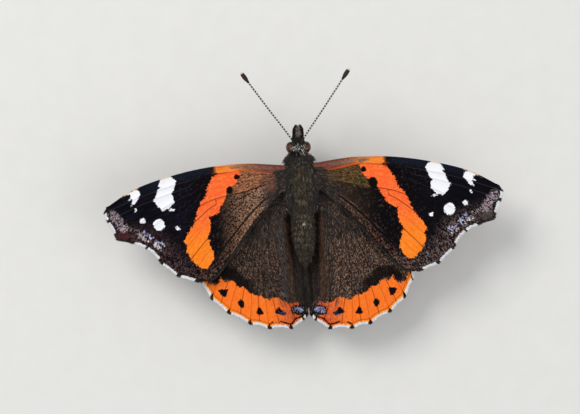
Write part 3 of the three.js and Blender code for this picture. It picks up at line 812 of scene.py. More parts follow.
shaft_material, shaft_start, shaft_shader = new_material("antenna_black", 0.55)
shaft_colour, shaft_grain = shaft_maths(shaft_start)
paint(shaft_shader, shaft_colour, shaft_grain, 0.00002)
band_material = mottled_material("antenna_white", 0.8, 0.3, 6000.0, tone(196, 192, 196), tone(232, 230, 232),
                                 14000.0, 0.00002)
bands = repeat_tree("antenna_bands", {"Radius": "Float", "Length": "Float"},
                    {"sleeve": ("GeometryNodeMeshCylinder", {}, {"Vertices": 14})},
                    ["in.Radius > sleeve.Radius", "in.Length > sleeve.Depth",
                     "points.Rotation > put.Rotation", "sleeve.Mesh > put.Instance"])
for word, side in SIDES:
    tip = np.array(ANTENNA_TIP[word]) * (side, 1, 1)
    scape = [np.array(p) * (side, 1, 1) for p in SCAPE]
    bow = (scape[1] + tip) / 2 + (0, 0, ANTENNA_BOW)
    path = smooth_path([scape[0], scape[1], bow, tip])
    length = path[1][-1]
    way = np.linspace(0, length, ANTENNA_STEPS)
    club = np.clip((way - length + CLUB_LENGTH) / CLUB_LENGTH, 0, 1)
    spindle = ease(club / 0.6) * np.sqrt(1 - (np.clip(club - 0.62, 0, 1) / 0.385) ** 2)
    thick = ANTENNA_THIN + (ANTENNA_CLUB - ANTENNA_THIN) * spindle
    thick = thick * (1 + SOCKET_SWELL * np.exp(-((way - SOCKET_AT) / 0.25) ** 2))
    thick[0] *= 0.3
    grid = tube_grid(places_along(path, way), thick, ANTENNA_SIDES)
    along_club = np.append(np.repeat(club, ANTENNA_SIDES), [0, 1])
    antenna = skin_piece(f"antenna_{word}_shaft", grid, shaft_material, {"club": along_club})
    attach(antenna, "root")
    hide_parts(f"antenna_{word}")
    band_places = places_along(path, np.linspace(BAND_START, length - CLUB_LENGTH * 0.92, 60))
    rings = along_path(f"antenna_{word}_bands", band_places, bands,
                       {"Count": BAND_COUNT, "Radius": (ANTENNA_THIN + BAND_HEIGHT) * MM,
                        "Length": BAND_LENGTH * MM, "Finish": band_material})
    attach(rings, "root")

# Legs: four slender walking legs, furred thigh and shin and a bare brown foot of five joints with two claws.
# The front pair is short, brush-like and folded up under the head, as in all butterflies of this family.
MID_LEG = [(1.25, -0.6, 5.08), (1.65, -0.5, 4.25), (5.2, 0.5, 6.0), (8.0, 0.6, 0.8), (8.9, 0.7, 0.2),
           (11.4, 1.0, 0.2)]
HIND_LEG = [(1.2, -3.3, 5.22), (1.55, -3.55, 4.4), (4.4, -6.2, 5.9), (6.9, -9.3, 0.8), (7.4, -10.1, 0.2),
            (9.0, -12.6, 0.2)]
FORE_LEG = [(0.9, 1.7, 5.35), (1.25, 2.9, 4.55), (1.3, 4.0, 5.0), (1.1, 4.8, 5.8)]
WALKING_RADII = [0.50, 0.40, 0.28, 0.19, 0.16, 0.13]
FORE_RADII = [0.33, 0.28, 0.22, 0.14]
LEGS = [   # name, joints, radii, steps along the skin, length of the hair, seed
    ("midleg", MID_LEG, WALKING_RADII, 130, 0.42, 30),
    ("hindleg", HIND_LEG, WALKING_RADII, 130, 0.42, 40),
    ("foreleg", FORE_LEG, FORE_RADII, 60, 0.62, 50),
]
LEG_SIDES = 20
KNUCKLE = 0.18             # swelling at each joint
LEG_HAIRS = 1000
FOOT_START = 0.62          # share of the leg's way at which the spines begin
SPINES = 26
SPINE_LENGTH = 0.42
SPINE_THICKNESS = 0.028
CLAW_STEPS = 16
CLAW_LENGTH = 0.34
CLAW_SPREAD = 0.16
CLAW_RADIUS = 0.05


def leg_maths(start):
    mark = attribute(start, "mark", "Vector")
    shade = attribute(start, "shade")
    foot = mark.part(2).rise(1.6, 0.5)
    fur = shade.blend(tone(72, 58, 46), tone(158, 138, 112))
    bare = (noise(mark, 4.0) * 0.6 + shade * 0.4).blend(tone(96, 58, 30), tone(162, 112, 64))
    return foot.blend(fur, bare)


leg_fur = fur_material("leg_fur", leg_maths)
claw_material = mottled_material("claw", 0.3, 0.5, 6000.0, tone(18, 10, 8), tone(58, 34, 22), 9000.0, 0.00001)
bristles = repeat_tree(
    "leg_spines", {"Length": "Float", "Thickness": "Float", "Seed": "Int"},
    {"spine": ("GeometryNodeMeshCone", {}, {"Vertices": 5, "Radius Top": 0.000004}),
     "turn": ("FunctionNodeRotateRotation", {"rotation_space": "LOCAL"}, {}),
     "angle": ("FunctionNodeEulerToRotation", {}, {}),
     "random": ("FunctionNodeRandomValue", {"data_type": "FLOAT_VECTOR"},
                {"Min": (-0.95, -0.3, 0.0), "Max": (-0.70, 0.3, 6.28)})},
    ["in.Thickness > spine.Radius Bottom", "in.Length > spine.Depth", "points.Rotation > turn.Rotation",
     "in.Seed > random.Seed", "random.Value > angle.Euler", "angle.Rotation > turn.Rotate By",
     "turn.Rotation > put.Rotation", "spine.Mesh > put.Instance"])


def leg_claws(leg, word, side, centre):
    """Two hooked claws at the end of a foot, spread to either side of it."""
    heading = normalised(centre[-2] - centre[-8])
    beside = normalised(np.cross(heading, (0, 0, 1)))
    share = np.linspace(0, 1, CLAW_STEPS)[:, None]
    for hook, spread in (("inner", -side), ("outer", side)):
        places = centre[-3] + heading * CLAW_LENGTH * share + beside * spread * CLAW_SPREAD * share ** 0.7
        places = places + np.array((0, 0, 1)) * (0.10 * np.sin(share * math.pi) - 0.13 * share ** 2)
        places[:, 2] = np.maximum(places[:, 2], 0.035)
        hooked = tube_grid(places, CLAW_RADIUS * (1 - 0.75 * share[:, 0]), 8)
        hooked[..., 2] = np.maximum(hooked[..., 2], 0)
        claw = skin_piece(f"{leg}_{word}_claw_{hook}", hooked, claw_material)
        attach(claw, "root")


for leg, joints, radii, steps, hair_length, seed in LEGS:
    for word, side in SIDES:
        walking = leg != "foreleg"
        grid, way = limb_grid(joints, radii, side, steps, LEG_SIDES, KNUCKLE)
        grid[..., 2] = np.maximum(grid[..., 2], 0)
        piece = skin_piece(f"{leg}_{word}_skin", grid, leg_fur)
        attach(piece, "root")
        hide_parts(f"{leg}_{word}")
        centre = grid.mean(1)
        normals = normalised(grid - centre[:, None])
        lie = np.gradient(centre, axis=0)[:, None] + np.zeros_like(grid)
        height = centre[:, 2][:, None] + np.zeros(grid.shape[:2])
        weight = ease((height - 0.5) / 0.6) if walking else np.ones(grid.shape[:2])
        roots = Roots(grid, weight, LEG_HAIRS, seed + side)
        coat = grow(f"{leg}_{word}_coat", roots, roots.value(grid), roots.value(normals), roots.value(lie),
                    hair_length, 0.045, 0.30, leg_fur)
        if not walking:
            continue
        feet = centre[int(len(centre) * FOOT_START):-2] + (0, 0, 0.05)
        spines = along_path(f"{leg}_{word}_spines", feet, bristles,
                            {"Count": SPINES, "Length": SPINE_LENGTH * MM, "Thickness": SPINE_THICKNESS * MM,
                             "Finish": claw_material, "Seed": seed + side})
        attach(spines, "root")
        leg_claws(leg, word, side, centre)

# Wings: thin double membranes on a fan of veins that run from the root to the scalloped margin.
# The fore pair lies over the hind pair, whose inner edges form a gutter under the abdomen.
MEMBRANE = 0.10          # thickness between the veins
RIDGE = 0.055            # height of a vein over the membrane
RIDGE_WIDTH = 0.13
FOLD = 0.13              # dip of the membrane midway between two veins
FRINGE = 0.28            # length of the hair along the outer margin
MARGIN_ROUNDING = 0.42   # reach of the rounding of the margin at the vein ends
ROUNDING_STEP = 0.05
INTO_BODY = 0.9          # how far a wing's root runs on under the hair of the thorax
CELL_STEPS = 12
WING_ROWS = 150
HOLLOW_START = 0.78      # share of the way out at which the margin's hollows begin
WAVE = 0.10              # gentle waves of the whole wing
CELL_OFFSET = 7.3        # keeps the scales of one cell apart from those of the next
SIDE_OFFSET = 7.0        # and those of the left wings from those of the right
MIDLINE = 0.02
FORE_VEINS = [
    ([[2.6, 2.0], [8.3, 2.5], [14.8, 2.2], [21.2, 1.0], [27.5, -1.0], [32.0, -3.6]], 0.00),
    ([[2.9, 1.3], [9.8, 1.4], [16.3, 0.5], [24.5, -1.6], [32.75, -4.6]], 0.00),
    ([[3.0, 0.9], [10.0, 0.5], [18.0, -0.9], [25.5, -3.2], [32.25, -5.9]], 0.15),
    ([[3.1, 0.5], [10.0, -0.4], [16.8, -1.6], [24.5, -5.1], [31.05, -9.15]], 0.10),
    ([[3.1, 0.1], [10.0, -1.3], [16.3, -2.4], [22.5, -5.6], [28.4, -9.8]], 0.12),
    ([[3.1, -0.3], [7.2, -1.5], [10.0, -2.3], [14.6, -3.2], [20.7, -6.1], [26.3, -10.7]], 0.30),
    ([[3.1, -0.7], [7.0, -2.2], [10.2, -3.1], [14.2, -4.0], [17.3, -6.2], [22.0, -10.8],
      [24.2, -13.3]], 0.08),
    ([[3.1, -1.1], [6.8, -2.9], [10.0, -4.0], [13.3, -6.8], [17.6, -11.1], [21.6, -15.6]], 0.05),
    ([[3.05, -1.6], [7.0, -4.3], [8.9, -6.0], [13.5, -11.0], [18.4, -16.7]], 0.05),
    ([[3.05, -2.3], [7.6, -6.6], [12.9, -13.0], [15.6, -15.9], [17.0, -16.55]], 0.00),
]
HIND_VEINS = [
    ([[3.6, -1.5], [8.2, -3.1], [13.2, -7.6], [16.6, -12.0], [17.75, -15.6]], 0.00),
    ([[3.6, -1.95], [7.5, -4.2], [11.8, -8.4], [15.5, -13.4], [17.3, -17.9]], 0.15),
    ([[3.6, -2.35], [7.0, -5.4], [9.4, -9.1], [12.05, -14.1], [14.3, -17.4], [15.85, -20.8]], 0.15),
    ([[3.6, -2.75], [6.4, -6.2], [8.3, -10.2], [10.2, -14.9], [11.6, -18.2], [13.25, -23.1]], 0.35),
    ([[3.55, -3.15], [6.0, -6.8], [7.6, -10.9], [8.9, -17.0], [9.9, -24.85]], 0.40),
    ([[3.5, -3.55], [5.5, -7.2], [6.8, -11.1], [7.3, -17.0], [6.85, -25.45]], 0.45),
    ([[3.4, -3.95], [4.9, -7.4], [5.9, -11.1], [5.6, -17.0], [3.2, -25.3]], 0.10),
    ([[3.3, -4.35], [4.3, -7.3], [4.7, -10.8], [3.8, -16.8], [0.9, -23.6]], 0.00),
    ([[3.1, -4.8], [3.5, -7.3], [3.2, -11.2], [2.1, -17.2], [0.45, -23.1]], 0.00),
    ([[2.6, -5.0], [1.8, -6.5], [0.9, -8.8], [0.05, -12.5], [0.05, -18.0], [0.12, -22.6]], 0.00),
]
# Where the veins show: from which vein of the fan, from how far along it, and where it leaves its stem.
FORE_NETWORK = [
    (0, 0.0, None), (1, 0.0, None), (2, 0.54, (16.6, 0.4)), (3, 0.50, (16.4, 0.3)),
    (4, 0.52, (16.5, -1.6)), (5, 0.0, None), (6, 0.48, (14.1, -3.1)), (7, 0.33, (9.4, -2.1)),
    (8, 0.0, None), (9, 0.0, None),
]
HIND_NETWORK = [
    (0, 0.0, None), (1, 0.0, None), (2, 0.2, (5.4, -3.2)), (3, 0.34, (7.7, -6.4)),
    (4, 0.40, (7.7, -9.6)), (5, 0.38, (5.6, -9.4)), (6, 0.0, None), (7, 0.2, (4.6, -6.2)),
    (8, 0.0, None), (9, 0.0, None),
]
# White stretches of the fringe, as shares of the way across each cell between two veins
FORE_WHITE = {1: (0.05, 0.90), 2: (0.10, 0.66), 4: (0.06, 0.92), 5: (0.06, 0.84), 6: (0.14, 0.90),
              7: (0.14, 0.78)}
HIND_WHITE = {0: (0.30, 1.0), 1: (0.08, 0.88), 2: (0.10, 0.90), 3: (0.10, 0.90), 4: (0.11, 0.89),
              5: (0.11, 0.89), 6: (0.08, 0.90), 7: (0.08, 0.90)}
LEFT_FORE = dict(root=(3.0, 0.0), across=(0.987, 0.036), along=(0.019, 0.983))
LEFT_HIND = dict(root=(3.3, -3.5), across=(1.012, 0.0145), along=(0.111, 0.979))
STRAIGHT = dict(root=(0.0, 0.0), across=(1.0, 0.0), along=(0.0, 1.0))


def fore_height(x, y):
    return 9.25 + 0.09 * (x - 3) - 0.0016 * (x - 3) ** 2


def hind_height(x, y):
    """Height of the hind wing's middle, with the gutter that its inner edge forms."""
    flat = 7.85 + 0.07 * (x - 3) - 0.0010 * (x - 3) ** 2
    inwards = ease((3.4 - x) / 1.7)
    backwards = ease((-5.3 - y) / 2.1)
    bottom = 4.95 + 1.55 * ease((-14.0 - y) / 9.0)
    return flat - (flat - bottom) * inwards * backwards


def line_distance(points, line):
    """Distance from each point to a line of straight lengths."""
    nearest = np.full(len(points), np.inf)
    line = np.asarray(line, float)
    for a, b in zip(line[:-1], line[1:]):
        span = b - a
        share = np.clip(((points - a) @ span) / max(span @ span, 1e-9), 0, 1)
        nearest = np.minimum(nearest, np.linalg.norm(points - a - share[:, None] * span, axis=1))
    return nearest


def inside(points, outline):
    """Distance to a closed outline, above zero inside it."""
    outline = np.asarray(outline, float)
    closed = np.vstack([outline, outline[:1]])
    within = np.zeros(len(points), bool)
    for (ax, ay), (bx, by) in zip(closed[:-1], closed[1:]):
        if ay == by:
            continue
        crosses = (points[:, 1] > min(ay, by)) & (points[:, 1] <= max(ay, by))
        within ^= crosses & (points[:, 0] < ax + (points[:, 1] - ay) * (bx - ax) / (by - ay))
    distance = line_distance(points, closed)
    return np.where(within, distance, -distance)


def oval(points, centre, across, along, turn=0.0):
    """Roughly the distance inside an oval spot."""
    c, s = math.cos(turn), math.sin(turn)
    offset = (points - np.array(centre)) @ np.array([[c, -s], [s, c]])
    return (1 - np.hypot(offset[:, 0] / across, offset[:, 1] / along)) * min(across, along)


# Markings of the upper side, on the right wings, in millimetres of the butterfly.
BAND_OUTER = [(13.3, 2.9), (13.7, 1.5), (13.2, 1.1), (14.2, 0.6), (15.2, -1.0), (15.9, -3.0), (16.7, -3.5),
              (16.9, -4.2), (17.3, -4.9), (17.5, -5.7), (18.1, -6.9), (19.5, -8.9), (20.0, -9.8),
              (19.5, -10.4), (19.8, -11.4), (18.9, -13.1), (18.2, -13.9), (17.4, -14.5), (16.8, -14.5)]
BAND_INNER = [(16.1, -13.9), (15.4, -12.6), (15.5, -11.4), (15.9, -10.5), (15.8, -9.8), (16.2, -9.7),
              (15.7, -8.5), (15.4, -7.4), (15.4, -6.4), (15.7, -6.0), (14.7, -5.8), (13.9, -5.3),
              (13.5, -4.5), (12.6, -3.1), (12.2, -2.1), (12.1, -1.5), (11.5, -1.1), (11.0, -1.3),
              (10.4, -0.4), (9.9, 0.0), (9.8, 1.0), (10.2, 1.4), (11.8, 2.1), (12.8, 2.9)]
WHITE_BAR = [(21.6, 1.2), (22.8, 0.6), (23.2, -0.2), (23.3, -0.6), (22.9, -0.7), (23.5, -1.2),
             (23.7, -2.1), (24.4, -3.0), (24.0, -3.1), (23.9, -3.7), (23.3, -4.2), (23.0, -4.7),
             (22.3, -4.4), (21.9, -4.3), (20.9, -3.2), (21.1, -2.4), (21.3, -1.9), (20.8, -1.2),
             (20.3, 0.2), (21.0, 0.9)]
WHITE_TIP_MARK = [(26.3, -1.8), (26.6, -1.1), (27.2, -0.9), (28.9, -1.65), (28.0, -1.8), (27.9, -2.2),
                  (28.6, -2.6), (27.7, -2.5), (28.1, -3.7), (27.1, -2.9)]
# places out along the wing, and the strip's width there
FRONT_STRIP = ((3.5, 6.5, 9.7, 14.0), (1.6, 1.4, 1.15, 1.05))
WHITE_DOTS = [((27.4, -4.3), 0.18, 0.27), ((26.4, -6.1), 0.46, 0.46), ((23.8, -6.9), 0.91, 0.97),
              ((20.8, -7.6), 0.40, 0.32)]
WHITE_SPUR = ((21.45, -4.55), 0.42, 0.20)
MARGIN_BUMP = ((29.9, -8.3), 1.5, 1.1)
BASE_CELL = [(3.0, 0.2), (7.4, 1.05), (9.8, 1.1), (10.6, -0.4), (11.0, -1.6), (11.4, -2.7), (9.6, -2.4),
             (7.2, -1.45), (4.8, -0.4)]
LILAC_LINES = [[(26.4, -8.1), (25.3, -9.0)], [(23.5, -10.1), (24.6, -9.8)]]
PINK_LINES = [[(27.2, -8.5), (25.9, -9.4)], [(24.8, -10.1), (24.0, -10.7)]]
TIP_LINE = [(27.4, -7.8), (29.1, -7.3)]
TIP_PATCH = [(31.2, -5.0), (30.3, -6.2), (29.7, -7.1)]
BORDER_EDGE = [(16.6, -16.6), (16.0, -18.1), (15.0, -18.4), (14.5, -18.0), (14.0, -17.0), (13.8, -17.6),
               (13.4, -17.8), (12.3, -17.5), (11.8, -18.0), (11.4, -18.6), (10.3, -18.5), (9.9, -19.2),
               (8.6, -19.9), (7.9, -19.8), (7.1, -20.3), (6.8, -20.6), (6.0, -20.2), (4.8, -20.1),
               (4.2, -20.6), (3.5, -20.9), (2.7, -20.8), (1.7, -20.7), (1.4, -21.4), (2.6, -22.6),
               (1.4, -23.0), (0.3, -22.9)]
BORDER_BEYOND = [(0.0, -30.0), (25.0, -30.0), (25.0, -16.0)]
BORDER_SPOTS = [[(13.1, -19.0), (14.5, -19.3), (14.0, -20.1), (13.5, -20.2)],
                [(11.1, -20.55), (11.5, -21.2), (11.25, -21.95), (10.8, -21.9), (10.65, -21.2)],
                [(8.25, -21.75), (8.75, -22.8), (8.2, -22.95), (7.6, -22.8)],
                [(5.05, -21.7), (5.75, -22.55), (4.4, -22.9), (4.0, -22.6), (4.7, -22.2)]]
INK_LINES = [[(14.6, -17.2), (13.6, -16.3), (11.9, -16.4), (10.9, -17.7), (9.6, -18.4), (8.7, -19.2),
             (7.2, -19.6)]]
ANAL_PATCH = [(1.35, -21.9), (2.35, -22.0)]
ANAL_LINE = [(0.4, -22.75), (1.4, -23.1), (2.5, -23.5), (2.9, -24.1), (3.3, -24.4), (4.1, -24.25),
             (5.1, -23.95)]
ANAL_DASH = [(6.2, -24.15), (6.8, -24.6)]


def held(x, y, hold):
    """Plan of a wing as it is held: the left pair is swung a little about its roots."""
    (root_x, root_y), across, along = hold["root"], hold["across"], hold["along"]
    near_body = np.minimum(1, np.maximum(x, 0) / 4)
    shift_x = (across[0] - 1) * (x - root_x) + across[1] * (y - root_y)
    shift_y = along[0] * (x - root_x) + (along[1] - 1) * (y - root_y)
    return np.maximum(MIDLINE, x + shift_x * near_body), y + shift_y


def rounded(outline):
    """An outline with its corners rounded over about half a millimetre, its two ends kept."""
    run = np.concatenate([[0], np.cumsum(np.linalg.norm(np.diff(outline, axis=0), axis=1))])
    even = np.linspace(0, run[-1], int(run[-1] / ROUNDING_STEP))
    line = np.stack([np.interp(even, run, outline[:, k]) for k in (0, 1)], 1)
    reach = int(3 * MARGIN_ROUNDING / ROUNDING_STEP)
    before = 2 * line[0] - line[reach:0:-1]
    after = 2 * line[-1] - line[-2:-reach - 2:-1]
    long = np.vstack([before, line, after])
    bell = np.exp(-0.5 * (np.arange(-reach, reach + 1) * ROUNDING_STEP / MARGIN_ROUNDING) ** 2)
    smooth = np.stack([np.convolve(long[:, k], bell / bell.sum(), "valid") for k in (0, 1)], 1)
    return np.stack([np.interp(run, even, smooth[:, k]) for k in (0, 1)], 1)


def wing_fan(veins):
    """Plan of a right wing: places by row and column, with the outline's row last.
    Also each column's cell, its share across the cell and each row's way along."""
    paths = [smooth_path([[points[0][0] - INTO_BODY, points[0][1]], *points]) for points, _ in veins]
    share_steps = (1 - np.cos(np.linspace(0, np.pi, CELL_STEPS, endpoint=False))) / 2
    rows = np.linspace(0, 1, WING_ROWS + 1)
    tips = np.append(rows, 1.0)
    outer = ease((tips - HOLLOW_START) / 0.22) ** 1.5
    crests = []
    for path in paths:
        length = path[1][-1]
        way = np.append(rows * (length - FRINGE), length)
        crests.append((places_along(path, way), way))
    columns = []
    cells = []
    for i in range(len(veins) - 1):
        depth = veins[i][1]
        (first, first_way), (second, second_way) = crests[i], crests[i + 1]
        shares = share_steps if i + 2 < len(veins) else np.append(share_steps, 1.0)
        for share in shares:
            spot = first + (second - first) * share
            inner = spot[int(WING_ROWS * HOLLOW_START)]
            hollow = depth * math.sin(math.pi * share) ** 0.9 * outer
            away = inner - spot
            away = away / np.maximum(np.linalg.norm(away, axis=1), 1e-6)[:, None]
            columns.append(spot + away * hollow[:, None])
            cells.append((i, share, first_way + (second_way - first_way) * share))
    fan = np.stack(columns, 1)
    fan = fan + (rounded(fan[-1]) - fan[-1])[None] * outer[:, None, None]
    cell = np.array([c[0] for c in cells])
    share = np.array([c[1] for c in cells])
    way = np.stack([c[2] for c in cells], 1)
    spacing = np.stack([np.linalg.norm(crests[c[0]][0] - crests[c[0] + 1][0], axis=1) for c in cells], 1)
    return dict(fan=fan, cell=cell, share=share, way=way, spacing=spacing, crests=[c[0] for c in crests])


def vein_lines(shape, network):
    """The veins that show, as lines on the plan, with each one's way from its stem."""
    lines = []
    for index, start, stem in network:
        crest = shape["crests"][index]
        line = crest[int(start * WING_ROWS):-1:3]
        lines.append(line if stem is None else np.vstack([[stem], line]))
    return lines


def wing_heights(shape, network, height, hold):
    """Levels of a wing's middle at each place of its fan, and the distance from each to a vein."""
    fan = shape["fan"]
    flat = fan.reshape(-1, 2)
    distances = [line_distance(flat, line) for line in vein_lines(shape, network)]
    vein = np.min(distances, axis=0).reshape(fan.shape[:2])
    x, y = held(fan[..., 0], fan[..., 1], hold)
    dip = np.sin(np.pi * shape["share"])[None, :] ** 2 * np.minimum(1, shape["spacing"] / 2)
    level = height(x, y) - FOLD * dip
    wave = WAVE * np.sin(fan[..., 0] * 0.35 + 1.0) * np.sin(fan[..., 1] * 0.4)
    level += wave * np.minimum(1, shape["way"] / 10)
    return x, y, level, vein


def make_wing(name, shape, network, height, hold, side, fields, materials):
    """One wing as a closed thin sheet, upper side in the first material and underside in the second."""
    x, y, level, vein = wing_heights(shape, network, height, hold)
    count = shape["fan"].shape[1]
    rows = WING_ROWS + 1
    ridge = RIDGE * np.exp(-(vein / RIDGE_WIDTH) ** 2)
    upper = np.stack([side * x, y, level + MEMBRANE / 2 + ridge], -1)
    lower = np.stack([side * x, y, level - MEMBRANE / 2 - ridge * 1.3], -1)[:rows].reshape(-1, 3)
    a = (np.arange(rows - 1)[:, None] * count + np.arange(count - 1)).ravel()
    top = np.stack([a, a + 1, a + 1 + count, a + count], 1)
    under = top[:, ::-1] + rows * count
    edge = np.concatenate([np.arange(count), np.arange(2, rows + 1) * count - 1,
                           np.arange(rows * count - 2, (rows - 1) * count - 1, -1),
                           np.arange(rows - 2, 0, -1) * count])
    after = np.roll(edge, -1)
    rim = np.stack([after, edge, edge + rows * count, after + rows * count], 1)
    faces = np.vstack([top, under, rim])
    if side > 0:
        faces = faces[:, ::-1]
    slots = np.concatenate([np.zeros(len(top)), np.ones(len(under)), np.zeros(len(rim))]).astype(int)
    attributes = {key: np.tile(values.reshape(-1, count)[:rows].ravel(), 2) for key, values in fields.items()}
    across = (shape["cell"] + shape["share"])[None, :] * 2.0 + np.zeros_like(shape["way"])
    sideways = shape["cell"][None, :] * CELL_OFFSET + shape["share"][None, :] * shape["spacing"]
    for key, lateral in (("flow", across), ("scale_row", sideways)):
        field = np.stack([lateral, shape["way"], np.full_like(across, side * SIDE_OFFSET)], -1)
        field = field[:rows].reshape(-1, 3)
        attributes[key] = np.vstack([field, field])
    attributes["vein"] = np.tile(vein[:rows].ravel(), 2)
    points = np.vstack([upper[:rows].reshape(-1, 3), lower])
    made = mesh_object(name, points, [faces], materials, slots, attributes)
    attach(made, "root")
    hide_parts(name)
    return upper


def white_columns(shape, white):
    """1 in the columns of a wing's fan that end in white fringe and 0 in the others."""
    pale = np.zeros(len(shape["cell"]))
    for cell, (start, end) in white.items():
        pale[(shape["cell"] == cell) & (shape["share"] >= start) & (shape["share"] <= end)] = 1.0
    return pale


def common_fields(shape, is_left, white):
    """Fields that every wing has: way to the outer margin, fold between the veins, and its side, which the
    materials read for the painted lit tints of the left wings.
    """
    fan = shape["fan"]
    outline = fan[-1]
    flat = fan.reshape(-1, 2)
    edge = line_distance(flat, outline)
    fold = (np.abs(shape["share"] - 0.5)[None, :] * shape["spacing"]).ravel()
    side = np.full(len(flat), float(is_left))
    pale = (white_columns(shape, white) + 0 * shape["way"]).ravel()
    return flat, {"edge": edge, "fold": fold, "left": side, "pale": pale}


def fore_fields(shape, is_left):
    flat, fields = common_fields(shape, is_left, FORE_WHITE)
    fields["band"] = inside(flat, BAND_OUTER + BAND_INNER)
    spot = oval(flat, (10.3, 0.42), 0.47, 0.47)
    second = (0.50, 0.66) if is_left else (0.75, 0.9)
    fields["ink"] = np.maximum(spot, oval(flat, (11.75, -1.75), *second, 0.3))
    white = np.maximum(inside(flat, WHITE_BAR), inside(flat, WHITE_TIP_MARK))
    for centre, across, along in WHITE_DOTS:
        white = np.maximum(white, oval(flat, centre, across, along))
    fields["white"] = np.maximum(white, oval(flat, *WHITE_SPUR))
    fields["lilac"] = -np.min([line_distance(flat, line) for line in LILAC_LINES], axis=0)
    fields["pink"] = -np.min([line_distance(flat, line) for line in PINK_LINES], axis=0)
    fields["tip"] = np.maximum(0.75 - line_distance(flat, TIP_PATCH), 0.15 - line_distance(flat, TIP_LINE))
    fields["cell"] = inside(flat, BASE_CELL)
    fields["costa"] = line_distance(flat, shape["crests"][0][::4])
    width = np.interp(flat[:, 0], *FRONT_STRIP)
    fields["strip"] = fields["costa"] / width
    fields["radius"] = np.abs(fields["costa"] - width)
    fields["plait"] = line_distance(flat, shape["crests"][8][::4])
    fields["rear"] = line_distance(flat, shape["crests"][-1][::4])
    fields["bump"] = oval(flat, *MARGIN_BUMP)
    fields["out"] = flat[:, 0]
    fields["back"] = flat[:, 1]
    return fields


def hind_fields(shape, is_left):
    flat, fields = common_fields(shape, is_left, HIND_WHITE)
    fields["band"] = inside(flat, BORDER_EDGE + BORDER_BEYOND)
    fields["ink"] = np.max([inside(flat, spot) for spot in BORDER_SPOTS], axis=0)
    fields["smoke"] = -np.min([line_distance(flat, line) for line in INK_LINES], axis=0)
    fields["lilac"] = -line_distance(flat, ANAL_PATCH)
    fields["line"] = -np.minimum(line_distance(flat, ANAL_LINE), line_distance(flat, ANAL_DASH))
    fields["out"] = flat[:, 0]
    fields["back"] = flat[:, 1]
    return fields


# Upper side: velvety black-brown scales with coloured ones among them, the markings ragged by whole scales.
ORANGE_FRONT = tone(252, 96, 46)
ORANGE_REAR = tone(253, 128, 24)
BLACK = tone(8, 6, 9)
BROWN = tone(40, 32, 26)
WHITE = tone(246, 246, 248)


class WingScales:
    """Material of one side of a wing, with what all sides share: a random value for each scale,
    edges ragged by whole scales, and streaks of hair-like scales along the veins."""

    def __init__(self, name, roughness, specular):
        self.material, self.start, self.shader = new_material(name, roughness, specular)
        self.flow = attribute(self.start, "flow", "Vector")
        self.row = attribute(self.start, "scale_row", "Vector")
        self.scales = self.cells(5.4, 3.8, 0.85)
        self.chance = self.random(self.scales, 0)
        self.ragged = noise(self.row.stretched(3.4, 1.8), 1.0, 3.0) - 0.5 + (self.chance - 0.5) * 0.5

    def cells(self, across, along, randomness=1.0, output="Color"):
        """A net of scales, so many to the millimetre across and along the veins."""
        sockets = {"Vector": self.row.stretched(across, along), "Scale": 1.0, "Randomness": randomness}
        return self.row.node("TexVoronoi", None, sockets, output)

    def random(self, scales, channel):
        return scales.node("SeparateColor", None, {"Color": scales}, channel)

    def small_scales(self):
        """A random value for each of the smallest scales."""
        return self.random(self.cells(7.4, 5.2), 0)

    def streaks(self, across, along, detail=3.0, scale=1.0):
        return noise(self.flow.stretched(across, along), scale, detail)

    def fields(self, *names):
        return fields_of(self.start, *names)

    def marking(self, field, raggedness, low, high, wider=0.0):
        """Mask of a marking from the distance inside it: 0 outside, 1 inside, with a ragged edge."""
        distance = attribute(self.start, field)
        if wider:
            distance = distance + wider
        return (distance + self.ragged * raggedness).rise(low, high)

    def white_rim(self, edge):
        """Mask of the margin below the white stretches of the fringe."""
        pale = (attribute(self.start, "pale") + (self.chance - 0.5) * 0.6).rise(0.4, 0.6)
        return pale * (edge + self.ragged * 0.30).rise(0.46, 0.36)

    def finish(self, colour, distance=0.00004, strength=0.6, ribs=None):
        """Joins the colour, and rows of overlapping scales as a height."""
        rows = self.cells(9.0, 7.0, output="Distance")
        height = rows * 0.6 + self.streaks(12.0, 1.2, 2.0) * 0.5
        paint(self.shader, colour, height if ribs is None else height + ribs, distance, strength)
        return self.material


